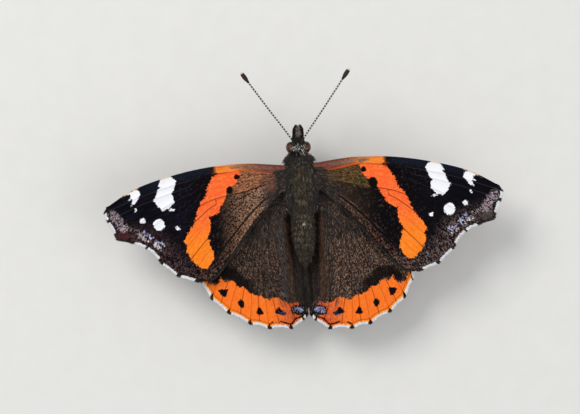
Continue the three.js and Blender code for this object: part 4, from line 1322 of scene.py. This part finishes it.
def fore_upper():
    wing = WingScales("forewing_upper", 0.80, 0.05)
    ragged, chance, chance_two = wing.ragged, wing.chance, wing.random(wing.scales, 1)
    grit = wing.small_scales()
    mixed = chance * 0.5 + grit * 0.5
    # left is 1 on the left wing, which meets the light at another slant: several tints below are painted lit
    # tints of that side
    left, out, back = wing.fields("left", "out", "back")
    vein, fold, edge, costa = wing.fields("vein", "fold", "edge", "costa")
    radius, rear, across, plait = wing.fields("radius", "rear", "strip", "plait")
    streak = wing.streaks(5.0, 0.8)
    patchy = wing.streaks(1.6, 0.35)
    fine = wing.streaks(9.0, 0.5, 2.0)
    # dark ground: brown towards the body, black with a painted violet sheen outside the band, brighter on the
    # left wing
    ground = out.rise(14.0, 4.0).blend(BLACK, BROWN)
    painted_violet_sheen = out.rise(16.0, 20.0) * patchy.rise(0.40, 0.60)
    ground = (painted_violet_sheen * 0.6).blend(ground, left.blend(tone(12, 11, 21), tone(18, 16, 33)))
    by_margin = edge.rise(5.0, 1.6) * back.rise(-4.5, -9.0) * (1 - left * 0.25)
    margin_tint = chance_two.rise(0.35, 0.65).blend(tone(98, 68, 58), tone(122, 112, 110))
    margin_tint = (left * 0.55).blend(margin_tint, tone(84, 40, 34))
    ground = (by_margin * mixed.rise(0.46, 0.66) * 0.9).blend(ground, margin_tint)
    bump = wing.marking("bump", 0.8, -0.1, 0.5) * (chance_two + streak * 0.3).rise(0.35, 0.6)
    ground = (bump * 0.8).blend(ground, left.blend(tone(76, 70, 62), tone(78, 38, 36)))
    # coloured scales: rusty by the rear edge, tan on the left wing's base and a few pale ones all over
    by_rear = rear.rise(2.2, 0.3) * out.rise(24.5, 19.0) * out.rise(5.0, 9.0)
    rusty_or_tan = chance_two.blend(tone(118, 62, 42), tone(112, 92, 78))
    ground = (by_rear * chance.rise(0.55, 0.80) * 0.8).blend(ground, rusty_or_tan)
    few = chance.rise(0.84, 0.93) * out.rise(28.0, 10.0)
    ground = (few * 0.28).blend(ground, chance_two.blend(tone(90, 52, 44), tone(104, 92, 82)))
    # painted light: the left wing's base lit to tan
    near_root = out.rise(13.0, 5.0) * 0.07 + out.rise(14.8, 8.0) * left * 0.78
    base = near_root * (chance * 0.3 + grit * 0.7 + streak * 0.4).rise(0.56, 0.80)
    ground = base.blend(ground, chance_two.blend(tone(148, 94, 68), tone(180, 146, 118)))
    # the cell: olive on the right wing and rusty on the left, the same scales painted lit by side
    in_cell = wing.marking("cell", 0.3, -0.15, 0.15)
    grain = chance * 0.45 + grit * 0.45 + patchy * 0.9 - 0.4
    light_olive = patchy.rise(0.42, 0.58).blend(tone(112, 98, 58), tone(124, 84, 50))
    olive = grain.rise(0.20, 0.85).blend(tone(32, 25, 15), light_olive)
    rusty = grain.rise(0.10, 0.85).blend(tone(60, 34, 24), tone(190, 126, 88))
    ground = (in_cell * 0.92).blend(ground, left.blend(olive, rusty))
    dark_flecks = in_cell * left * (chance_two + streak * 0.4).rise(0.62, 0.40)
    ground = (dark_flecks * 0.45).blend(ground, tone(52, 32, 22))
    # dark veins of the base, the strongest with a thin pale line beside it, a painted highlight along that
    # fold
    line = vein.rise(0.15, 0.05) * out.rise(14.0, 11.0) * (0.45 + left * 0.40)
    ground = line.most(plait.rise(0.20, 0.08) * out.rise(19.0, 12.0) * 0.9).blend(ground, tone(13, 10, 9))
    # painted highlight beside the strongest vein
    beside = plait.rise(0.18, 0.26) * plait.rise(0.44, 0.32) * out.rise(15.0, 7.0)
    ground = (beside * fine.rise(0.44, 0.58) * 0.55).blend(ground, tone(138, 112, 92))
    # painted shadow: a dark line along the rear edge
    ground = (rear.rise(0.26, 0.12) * 0.8).blend(ground, tone(14, 12, 13))
    # the streak along the front edge: orange at the rim, a blue-grey line, rust, and the orange-red radius
    strip = across + ragged * 0.22
    rust = out.rise(5.0, 13.0).blend(tone(134, 68, 52), tone(248, 140, 50))
    dull = (chance_two * 0.5 + grit * 0.5).rise(0.45, 0.70) * 0.70 * out.rise(13.0, 9.0)
    rust = dull.blend(rust, tone(66, 52, 48))
    slate = strip.rise(0.20, 0.36) * strip.rise(0.74, 0.56) * fine.rise(0.66, 0.40) * out.rise(13.0, 10.5)
    slate = slate * (out.rise(4.0, 9.0) + mixed.rise(0.50, 0.64) * 0.6).least(1.0)
    rust = slate.blend(rust, chance.blend(tone(58, 68, 66), tone(112, 128, 124)))
    rust = (strip.rise(0.24, 0.10) * out.rise(7.5, 11.0) * 0.6).blend(rust, tone(224, 140, 80))
    rust = (across.rise(0.10, 0.04) * out.rise(11.5, 9.0) * 0.7).blend(rust, tone(48, 32, 26))
    # painted highlight: a cream patch on the right shoulder only
    streaks = strip.rise(1.06, 0.94) * out.rise(14.2, 13.2)
    ground = (streaks * 0.95).blend(ground, rust)
    orange_line = (radius + ragged * 0.08).rise(0.17, 0.07) * out.rise(15.0, 12.5)
    orange_line = orange_line * out.rise(2.8, 7.5) * (1 - left * 0.4)
    ground = (orange_line * 0.85).blend(ground, tone(200, 82, 34))
    # the orange-red band, crossed by thin dark veins and yellower by the front edge
    band = wing.marking("band", 0.50, -0.04, 0.04)
    by_front = strip.rise(1.20, 0.90)
    orange = back.rise(-5.0, -11.5).blend(ORANGE_FRONT, ORANGE_REAR)
    orange = (mixed.rise(0.35, 0.80) * 0.42).blend(orange, tone(255, 160, 74))
    orange = (streak.rise(0.52, 0.72) * 0.36).blend(orange, tone(208, 58, 16))
    orange = (by_front * 0.85).blend(orange, tone(248, 142, 54))
    orange = (by_front * fine.rise(0.48, 0.64) * 0.55).blend(orange, tone(112, 62, 34))
    # painted shade in the creases along the hind body's sides, where it meets the wings
    orange = (vein.rise(0.13, 0.04) * 0.72 * (1 - by_front)).blend(orange, tone(120, 42, 10))
    orange = (fold.rise(0.09, 0.02) * back.rise(-6.0, -9.0) * 0.45).blend(orange, tone(176, 70, 14))
    colour = band.blend(ground, orange)
    ink = wing.marking("ink", 0.35, -0.05, 0.08)
    colour = ink.blend(colour, tone(14, 9, 8))
    # outside the band: a painted blue-grey sheen by the front edge, grey veins, and pale marks near the tip
    painted_blue_sheen = (costa + ragged * 0.6).rise(1.7, 0.5) * out.rise(13.5, 15.5) * out.rise(31.0, 22.0)
    colour = (painted_blue_sheen * 0.6).blend(colour, tone(24, 32, 46))
    grey_vein = vein.rise(0.10, 0.04) * out.rise(16.0, 19.0) * costa.rise(6.0, 2.0)
    colour = (grey_vein * 0.16).blend(colour, tone(84, 84, 94))
    broken = (chance * 0.45 + grit * 0.55 + streak * 0.35).rise(0.56, 0.72)
    lilac = wing.marking("lilac", 0.6, -0.10, 0.15, 0.30)
    pale_or_dark = chance_two.rise(0.3, 0.7)
    colour = (lilac * broken).blend(colour, pale_or_dark.blend(tone(128, 130, 168), tone(196, 196, 220)))
    pink = wing.marking("pink", 0.7, -0.10, 0.15, 0.30)
    colour = (pink * broken).blend(colour, pale_or_dark.blend(tone(176, 150, 152), tone(230, 222, 222)))
    tip = wing.marking("tip", 0.9, -0.15, 0.30)
    colour = (tip * broken * 0.9).blend(colour, chance_two.blend(tone(104, 88, 92), tone(196, 176, 182)))
    white = wing.marking("white", 0.38, -0.03, 0.05)
    snow = (costa.rise(0.30, 0.10) * 0.8).blend(WHITE, tone(246, 216, 180))
    snow = (vein.rise(0.09, 0.03) * 0.30).blend(snow, tone(120, 118, 116))
    snow = (fine.rise(0.50, 0.70) * 0.12).blend(snow, tone(190, 186, 192))
    colour = white.blend(colour, snow)
    cream = (costa + ragged * 0.3).rise(0.26, 0.12) * out.rise(26.2, 26.8) * out.rise(29.6, 28.8) * broken
    colour = cream.blend(colour, tone(240, 196, 156))
    # the margin: a little browner, and white under the white fringe
    colour = (edge.rise(0.62, 0.40) * 0.35).blend(colour, tone(34, 26, 24))
    colour = wing.white_rim(edge).blend(colour, tone(232, 232, 236))
    return wing.finish(colour)


def hind_upper():
    wing = WingScales("hindwing_upper", 0.82, 0.05)
    ragged, chance, chance_two = wing.ragged, wing.chance, wing.random(wing.scales, 1)
    grit = wing.small_scales()
    mixed = chance * 0.5 + grit * 0.5
    left, out, back, dusk = wing.fields("left", "out", "back", "smoke")
    vein, fold, edge = wing.fields("vein", "fold", "edge")
    streak = wing.streaks(5.0, 0.8)
    lines = wing.streaks(8.0, 0.30, 4.0)
    # the disc: dark brown with fine streaks along the veins and small dim coloured scales
    ground = lines.rise(0.38, 0.62).blend(tone(24, 19, 17), tone(62, 49, 42))
    speck = (chance * 0.25 + grit * 0.75 + lines * 0.60).rise(0.84, 1.00)
    tints = [(0.0, tone(84, 84, 88)), (0.45, tone(112, 74, 56)), (1.0, tone(164, 136, 112))]
    tint = chance_two.node("ValToRGB", {"stops": tints}, {"Fac": chance_two})
    ground = (speck * 0.85).blend(ground, tint)
    ground = (grit.rise(0.30, 0.16) * 0.55).blend(ground, tone(19, 15, 14))
    # painted shade: the left hind wing's disc darker than the right one's
    ground = (left * 0.34).blend(ground, tone(28, 25, 24))
    # painted highlight: pale lines beside the veins towards the rear
    beside = vein.rise(0.16, 0.22) * vein.rise(0.42, 0.30) * back.rise(-7.0, -10.0)
    ground = (beside * lines.rise(0.45, 0.62) * 0.26).blend(ground, tone(132, 100, 80))
    ground = (vein.rise(0.17, 0.06) * back.rise(-6.0, -9.0) * 0.42).blend(ground, tone(28, 21, 18))
    front = back.rise(-8.0, -5.0)
    ground = (front * 0.4).blend(ground, tone(54, 45, 40))
    smoke = (dusk + 0.98 + ragged * 0.6 + (streak - 0.5) * 1.1).rise(-0.25, 0.30)
    ground = (smoke * out.rise(7.5, 10.0) * 0.92).blend(ground, tone(15, 11, 11))
    # the orange border, redder and hairier towards the body
    band = wing.marking("band", 0.55, -0.05, 0.05)
    inner = out.rise(6.8, 3.5)
    orange = inner.blend(tone(252, 112, 30), tone(206, 82, 44))
    orange = (mixed.rise(0.35, 0.80) * 0.40).blend(orange, tone(255, 152, 68))
    orange = (lines.rise(0.50, 0.74) * (0.15 + inner * 0.55)).blend(orange, tone(120, 54, 34))
    orange = (edge.rise(0.86, 0.62) * 0.75 * (1 - inner * 0.6)).blend(orange, tone(250, 142, 22))
    rim_line = edge.rise(0.66, 0.74) * edge.rise(0.92, 0.84)
    orange = (rim_line * 0.55).blend(orange, tone(140, 62, 18))
    orange = (fold.rise(0.11, 0.03) * 0.80).blend(orange, tone(140, 46, 10))
    orange = (vein.rise(0.11, 0.03) * 0.45).blend(orange, tone(170, 66, 16))
    hairy = inner * lines.rise(0.46, 0.62) * back.rise(-22.0, -20.6)
    colour = (band * (1 - hairy)).blend(ground, orange)
    ink = wing.marking("ink", 0.30, -0.05, 0.07, 0.12)
    blue = chance.rise(0.60, 0.75) * out.rise(6.5, 5.8) * back.rise(-22.2, -22.5)
    colour = ink.blend(colour, blue.blend(tone(14, 11, 13), tone(76, 80, 112)))
    ends = (0.36 - vein - edge * 0.40 + ragged * 0.22).rise(-0.04, 0.06) * edge.rise(1.3, 0.8)
    colour = ends.blend(colour, tone(16, 12, 12))
    # the inner corner: a lilac-blue patch ringed in black, and a black line inside the margin
    ring = wing.marking("lilac", 1.0, -0.1, 0.1, 0.74)
    colour = ring.blend(colour, tone(18, 14, 15))
    lilac = wing.marking("lilac", 0.8, -0.05, 0.1, 0.36)
    lilac_tint = chance_two.rise(0.3, 0.7).blend(tone(118, 118, 158), tone(184, 184, 220))
    colour = (lilac * mixed.rise(0.38, 0.56)).blend(colour, lilac_tint)
    line = wing.marking("line", 0.18, -0.03, 0.05, 0.14)
    colour = line.blend(colour, tone(20, 14, 14))
    colour = wing.white_rim(edge).blend(colour, tone(232, 230, 230))
    return wing.finish(colour, 0.00005, 0.7, lines * 0.8)


# Underside: the fore wing repeats the band and white marks in paler colours, with a blue ring in its cell.
# The hind wing is marbled like bark, with a row of faint eyespots.
def fore_under():
    wing = WingScales("forewing_under", 0.8, 0.2)
    chance = wing.chance
    out, back, vein, costa, cell = wing.fields("out", "back", "vein", "costa", "cell")
    cloud = wing.streaks(0.5, 0.5, 4.0, 1.4)
    ground = back.rise(-13.0, -9.0).blend(tone(112, 98, 84), tone(34, 28, 28))
    tip = out.rise(24.5, 28.0)
    bark = cloud.rise(0.40, 0.62).blend(tone(70, 56, 46), tone(128, 110, 94))
    ground = (tip * 0.9).blend(ground, bark)
    costal_bars = wing.streaks(0.05, 1.1, 1.0).rise(0.42, 0.58).blend(tone(40, 32, 34), tone(150, 134, 128))
    ground = (costa.rise(1.3, 0.9) * out.rise(12.0, 10.0) * 0.8).blend(ground, costal_bars)
    band = wing.marking("band", 0.6, -0.05, 0.08)
    colour = band.blend(ground, back.rise(-4.0, -12.0).blend(tone(222, 88, 70), tone(226, 150, 104)))
    colour = wing.marking("ink", 0.3, -0.05, 0.08).blend(colour, tone(20, 16, 18))
    ring = cell.rise(0.15, 0.35) * cell.rise(0.75, 0.5) * out.rise(5.5, 7.0)
    colour = (ring * chance.rise(0.2, 0.5)).blend(colour, tone(88, 116, 168))
    lilac = wing.marking("lilac", 0.6, -0.05, 0.15, 0.45)
    colour = (lilac * 0.7).blend(colour, tone(126, 134, 164))
    white = wing.marking("white", 0.3, -0.03, 0.08)
    colour = white.blend(colour, tone(232, 228, 220))
    colour = (vein.rise(0.14, 0.05) * 0.45).blend(colour, tone(66, 50, 40))
    colour = (chance.rise(0.6, 0.9) * 0.18).blend(colour, tone(196, 176, 150))
    return wing.finish(colour)


def hind_under():
    wing = WingScales("hindwing_under", 0.82, 0.2)
    vein, fold, edge = wing.fields("vein", "fold", "edge")
    plan = object_plan(wing.start)
    cloud = noise(plan, 420.0, 5.0)
    wave = noise(plan, 190.0, 3.0)
    browns = [(0.36, tone(34, 27, 25)), (0.46, tone(74, 58, 48)),
              (0.55, tone(108, 90, 76)), (0.66, tone(140, 122, 106))]
    marble = cloud.node("ValToRGB", {"stops": browns}, {"Fac": cloud * 0.7 + wave * 0.3})
    inwards = edge + wave * 5.0 - 2.5
    outer_band = inwards.rise(6.2, 6.9) * inwards.rise(9.6, 8.4)
    inner_band = inwards.rise(12.5, 13.2) * inwards.rise(15.5, 14.8)
    bands = outer_band.most(inner_band)
    colour = (bands * 0.6).blend(marble, tone(38, 30, 28))
    pale = (edge.rise(3.2, 2.4) * edge.rise(1.0, 1.6)) * cloud.rise(0.42, 0.6)
    colour = (pale * 0.55).blend(colour, tone(160, 142, 128))
    square = fold * fold + (edge - 5.0) * (edge - 5.0)
    eye = square.node("Math", {"operation": "SQRT"}, {0: square})
    colour = (eye.rise(1.0, 0.8) * 0.55).blend(colour, tone(128, 112, 86))
    colour = (eye.rise(0.72, 0.58) * 0.85).blend(colour, tone(30, 28, 34))
    colour = (eye.rise(0.34, 0.22) * 0.75).blend(colour, tone(92, 112, 142))
    rim_line = edge.rise(0.75, 0.6) * edge.rise(0.45, 0.55)
    colour = (rim_line * 0.6).blend(colour, tone(90, 96, 118))
    colour = (vein.rise(0.15, 0.05) * 0.4).blend(colour, tone(150, 126, 100))
    colour = (wing.chance.rise(0.65, 0.9) * 0.25).blend(colour, tone(176, 152, 126))
    return wing.finish(colour)


fore_shape = wing_fan(FORE_VEINS)
hind_shape = wing_fan(HIND_VEINS)
fore_materials = [fore_upper(), fore_under()]
hind_materials = [hind_upper(), hind_under()]
WING_SIDES = (("left", -1, LEFT_FORE, LEFT_HIND), ("right", 1, STRAIGHT, STRAIGHT))
wing_tops = {}
for word, side, fore_hold, hind_hold in WING_SIDES:
    is_left = side < 0
    fields = fore_fields(fore_shape, is_left)
    wing_tops["fore", side] = make_wing(f"forewing_{word}", fore_shape, FORE_NETWORK, fore_height,
                                        fore_hold, side, fields, fore_materials)
    fields = hind_fields(hind_shape, is_left)
    wing_tops["hind", side] = make_wing(f"hindwing_{word}", hind_shape, HIND_NETWORK, hind_height,
                                        hind_hold, side, fields, hind_materials)

# Hair of the wings: a fringe along each outer margin, white in the hollows and black at the veins,
# and long soft hair over the wing bases and along the hind wings' inner edges that meets the body's coat.
FRINGE_COUNT = 3400
FRINGE_BEYOND = 0.17     # how far the hair's tips reach past the wing's outline
REAR_COUNT = 2200
WING_HAIR = {            # tufts, length, width, lift in radians
    "fore": (5000, 0.85, 0.060, 0.14), "hind": (9000, 0.95, 0.066, 0.12), "inner": (2600, 1.5, 0.080, 0.30),
}


def fringe_maths(start):
    shade = attribute(start, "shade")
    pale = attribute(start, "pale")
    dark = shade.blend(tone(14, 11, 11), tone(52, 42, 38))
    white = shade.rise(0.0, 0.4).blend(tone(206, 206, 210), tone(252, 252, 253))
    return (pale + shade * 0.3 - 0.15).rise(0.4, 0.6).blend(dark, white)


def wing_fur_maths(start):
    mark = attribute(start, "mark", "Vector")
    shade = attribute(start, "shade")
    x, y = mark.part(0), mark.part(1)
    off = x.size()
    hue = noise(mark, 2.0, 3.0).rise(0.42, 0.58)
    brown = shade.rise(0.1, 1.0).blend(tone(18, 15, 14), hue.blend(tone(92, 72, 60), tone(76, 72, 70)))
    # the hair is painted in other tints over the left wings than over the right ones: lit and shaded tints of
    # the same hair
    brown = (x.rise(1.0, 3.0) * 0.40).blend(brown, tone(16, 14, 13))
    brown = (shade.rise(0.90, 0.95) * 0.8).blend(brown, tone(140, 124, 110))
    golden = shade.rise(0.2, 1.0).blend(tone(26, 19, 16), tone(146, 104, 76))
    inner = off.rise(1.9, 2.5) * off.rise(3.9, 3.1) * y.rise(-5.5, -7.5)
    colour = (inner * (0.55 + x.rise(-1.0, 1.0) * 0.20)).blend(brown, golden)
    slate = x.rise(-3.0, -3.3) * x.rise(-4.3, -3.8) * y.rise(-6.5, -8.5)
    colour = (slate * 0.4).blend(colour, shade.blend(tone(28, 29, 31), tone(92, 94, 98)))
    # painted shade in the crease between the hind wings and the hind body
    painted_crease_shade = off.rise(2.5, 2.1) * y.rise(-5.0, -6.5)
    colour = (painted_crease_shade * 0.65).blend(colour, tone(30, 24, 21))
    rust = y.rise(-2.6, -0.8) * x.rise(-3.2, -4.2)
    colour = (rust * 0.85).blend(colour, shade.rise(0.1, 0.9).blend(tone(48, 30, 26), tone(186, 126, 98)))
    olive = y.rise(-1.6, -0.4) * x.rise(3.4, 4.4)
    return (olive * 0.8).blend(colour, shade.blend(tone(44, 34, 22), tone(140, 108, 66)))


def rear_hair_maths(start):
    # black with a few grey: the edge's hair, partly a painted shadow line and a painted highlight
    shade = attribute(start, "shade")
    return shade.rise(0.72, 1.0).blend(tone(13, 11, 11), tone(84, 78, 74))


fringe_hair = fur_material("fringe_hair", fringe_maths)
wing_fur = fur_material("wing_fur", wing_fur_maths)
rear_hair = fur_material("rear_hair", rear_hair_maths)


def margin_fringe(name, shape, top, white, seed):
    """Hair along a wing's outer margin, rooted on its last row and lying outwards."""
    strip = top[WING_ROWS - 1:WING_ROWS + 1]
    outward = np.repeat((top[WING_ROWS + 1] - top[WING_ROWS])[None], 2, 0)
    pale = white_columns(shape, white)
    full = 1.0 - 0.22 * np.sin(np.pi * shape["share"])
    roots = Roots(strip, np.ones(strip.shape[:2]), FRINGE_COUNT, seed, False)
    points = roots.value(strip)
    points[:, 2] -= MEMBRANE * roots.draw.random(len(points))
    up = np.tile((0.0, 0.0, 1.0), (len(points), 1))
    length = (FRINGE + FRINGE_BEYOND) * roots.value(np.stack([full, full]))
    coat = grow(name, roots, points, up, roots.value(outward), length, 0.060, 0.0, fringe_hair,
                extra={"pale": roots.value(np.stack([pale, pale]))}, scatter=0.16)


def rear_fringe(name, top, side, seed):
    """Short slate-grey and black hair along a fore wing's rear edge, lying over the hind wing, partly its own
    colour and partly a painted shadow line and highlight of the edge.
    """
    strip = top[:WING_ROWS + 1, -2:]
    weight = ease((np.abs(strip[..., 0]) - 3.5) / 1.5)
    roots = Roots(strip, weight, REAR_COUNT, seed, False)
    up = np.tile((0.0, 0.0, 1.0), (roots.count, 1))
    lie = np.tile((-0.55 * side, -0.80, -0.12), (roots.count, 1))
    coat = grow(name, roots, roots.value(strip), up, lie, 0.36, 0.050, 0.05, rear_hair, scatter=0.2)


def base_hair(name, top, weight, drift, hair, seed):
    """Long hair on a wing's upper side that follows its veins, turned a little by the drift."""
    count, length, width, lift = hair
    grid = top[:WING_ROWS + 1]
    lie = normalised(np.gradient(grid, axis=0)) + np.array(drift)
    normals = grid_normals(grid, False)
    normals = normals * np.sign(normals[..., 2:3])
    roots = Roots(grid, weight, count, seed, False)
    coat = grow(name, roots, roots.value(grid), roots.value(normals), roots.value(lie),
                length, width, lift, wing_fur, scatter=0.16)


for word, side, fore_hold, hind_hold in WING_SIDES:
    fore, hind = wing_tops["fore", side], wing_tops["hind", side]
    margin_fringe(f"fringe_fore_{word}", fore_shape, fore, FORE_WHITE, 61 + side)
    margin_fringe(f"fringe_hind_{word}", hind_shape, hind, HIND_WHITE, 64 + side)
    x, y = np.abs(fore[:WING_ROWS + 1, :, 0]), fore[:WING_ROWS + 1, :, 1]
    near = ease((6.6 - x) / 3.3) ** 1.5 * ease((0.75 - y + ease((4.2 - x) / 1.0) * 0.7) / 0.9)
    base_hair(f"hair_fore_{word}", fore, near, (0, -0.25, 0), WING_HAIR["fore"], 71 + side)
    rear_fringe(f"fringe_rear_{word}", fore, side, 81 + side)
    x, y = np.abs(hind[:WING_ROWS + 1, :, 0]), hind[:WING_ROWS + 1, :, 1]
    shown = ease((-y - 0.93 * x + 1.2) / 0.8)
    near = shown * (ease((5.0 - x) / 2.2) + 0.5 * ease((-4.0 - y) / 3 * ease((-11 - y) / -4)))
    near = near * ease((x - 0.4) / 0.8) * ease((y + 20.3) / 1.5)
    base_hair(f"hair_hind_{word}", hind, near, (0, -0.1, 0), WING_HAIR["hind"], 74 + side)
    edge = ease((1.1 - x) / 0.8) * ease((-9.0 - y) / 2.0) * ease((y + 20.9) / 1.5)
    base_hair(f"hair_inner_{word}", hind, edge, (-side * 0.45, 0, 0.25), WING_HAIR["inner"], 77 + side)
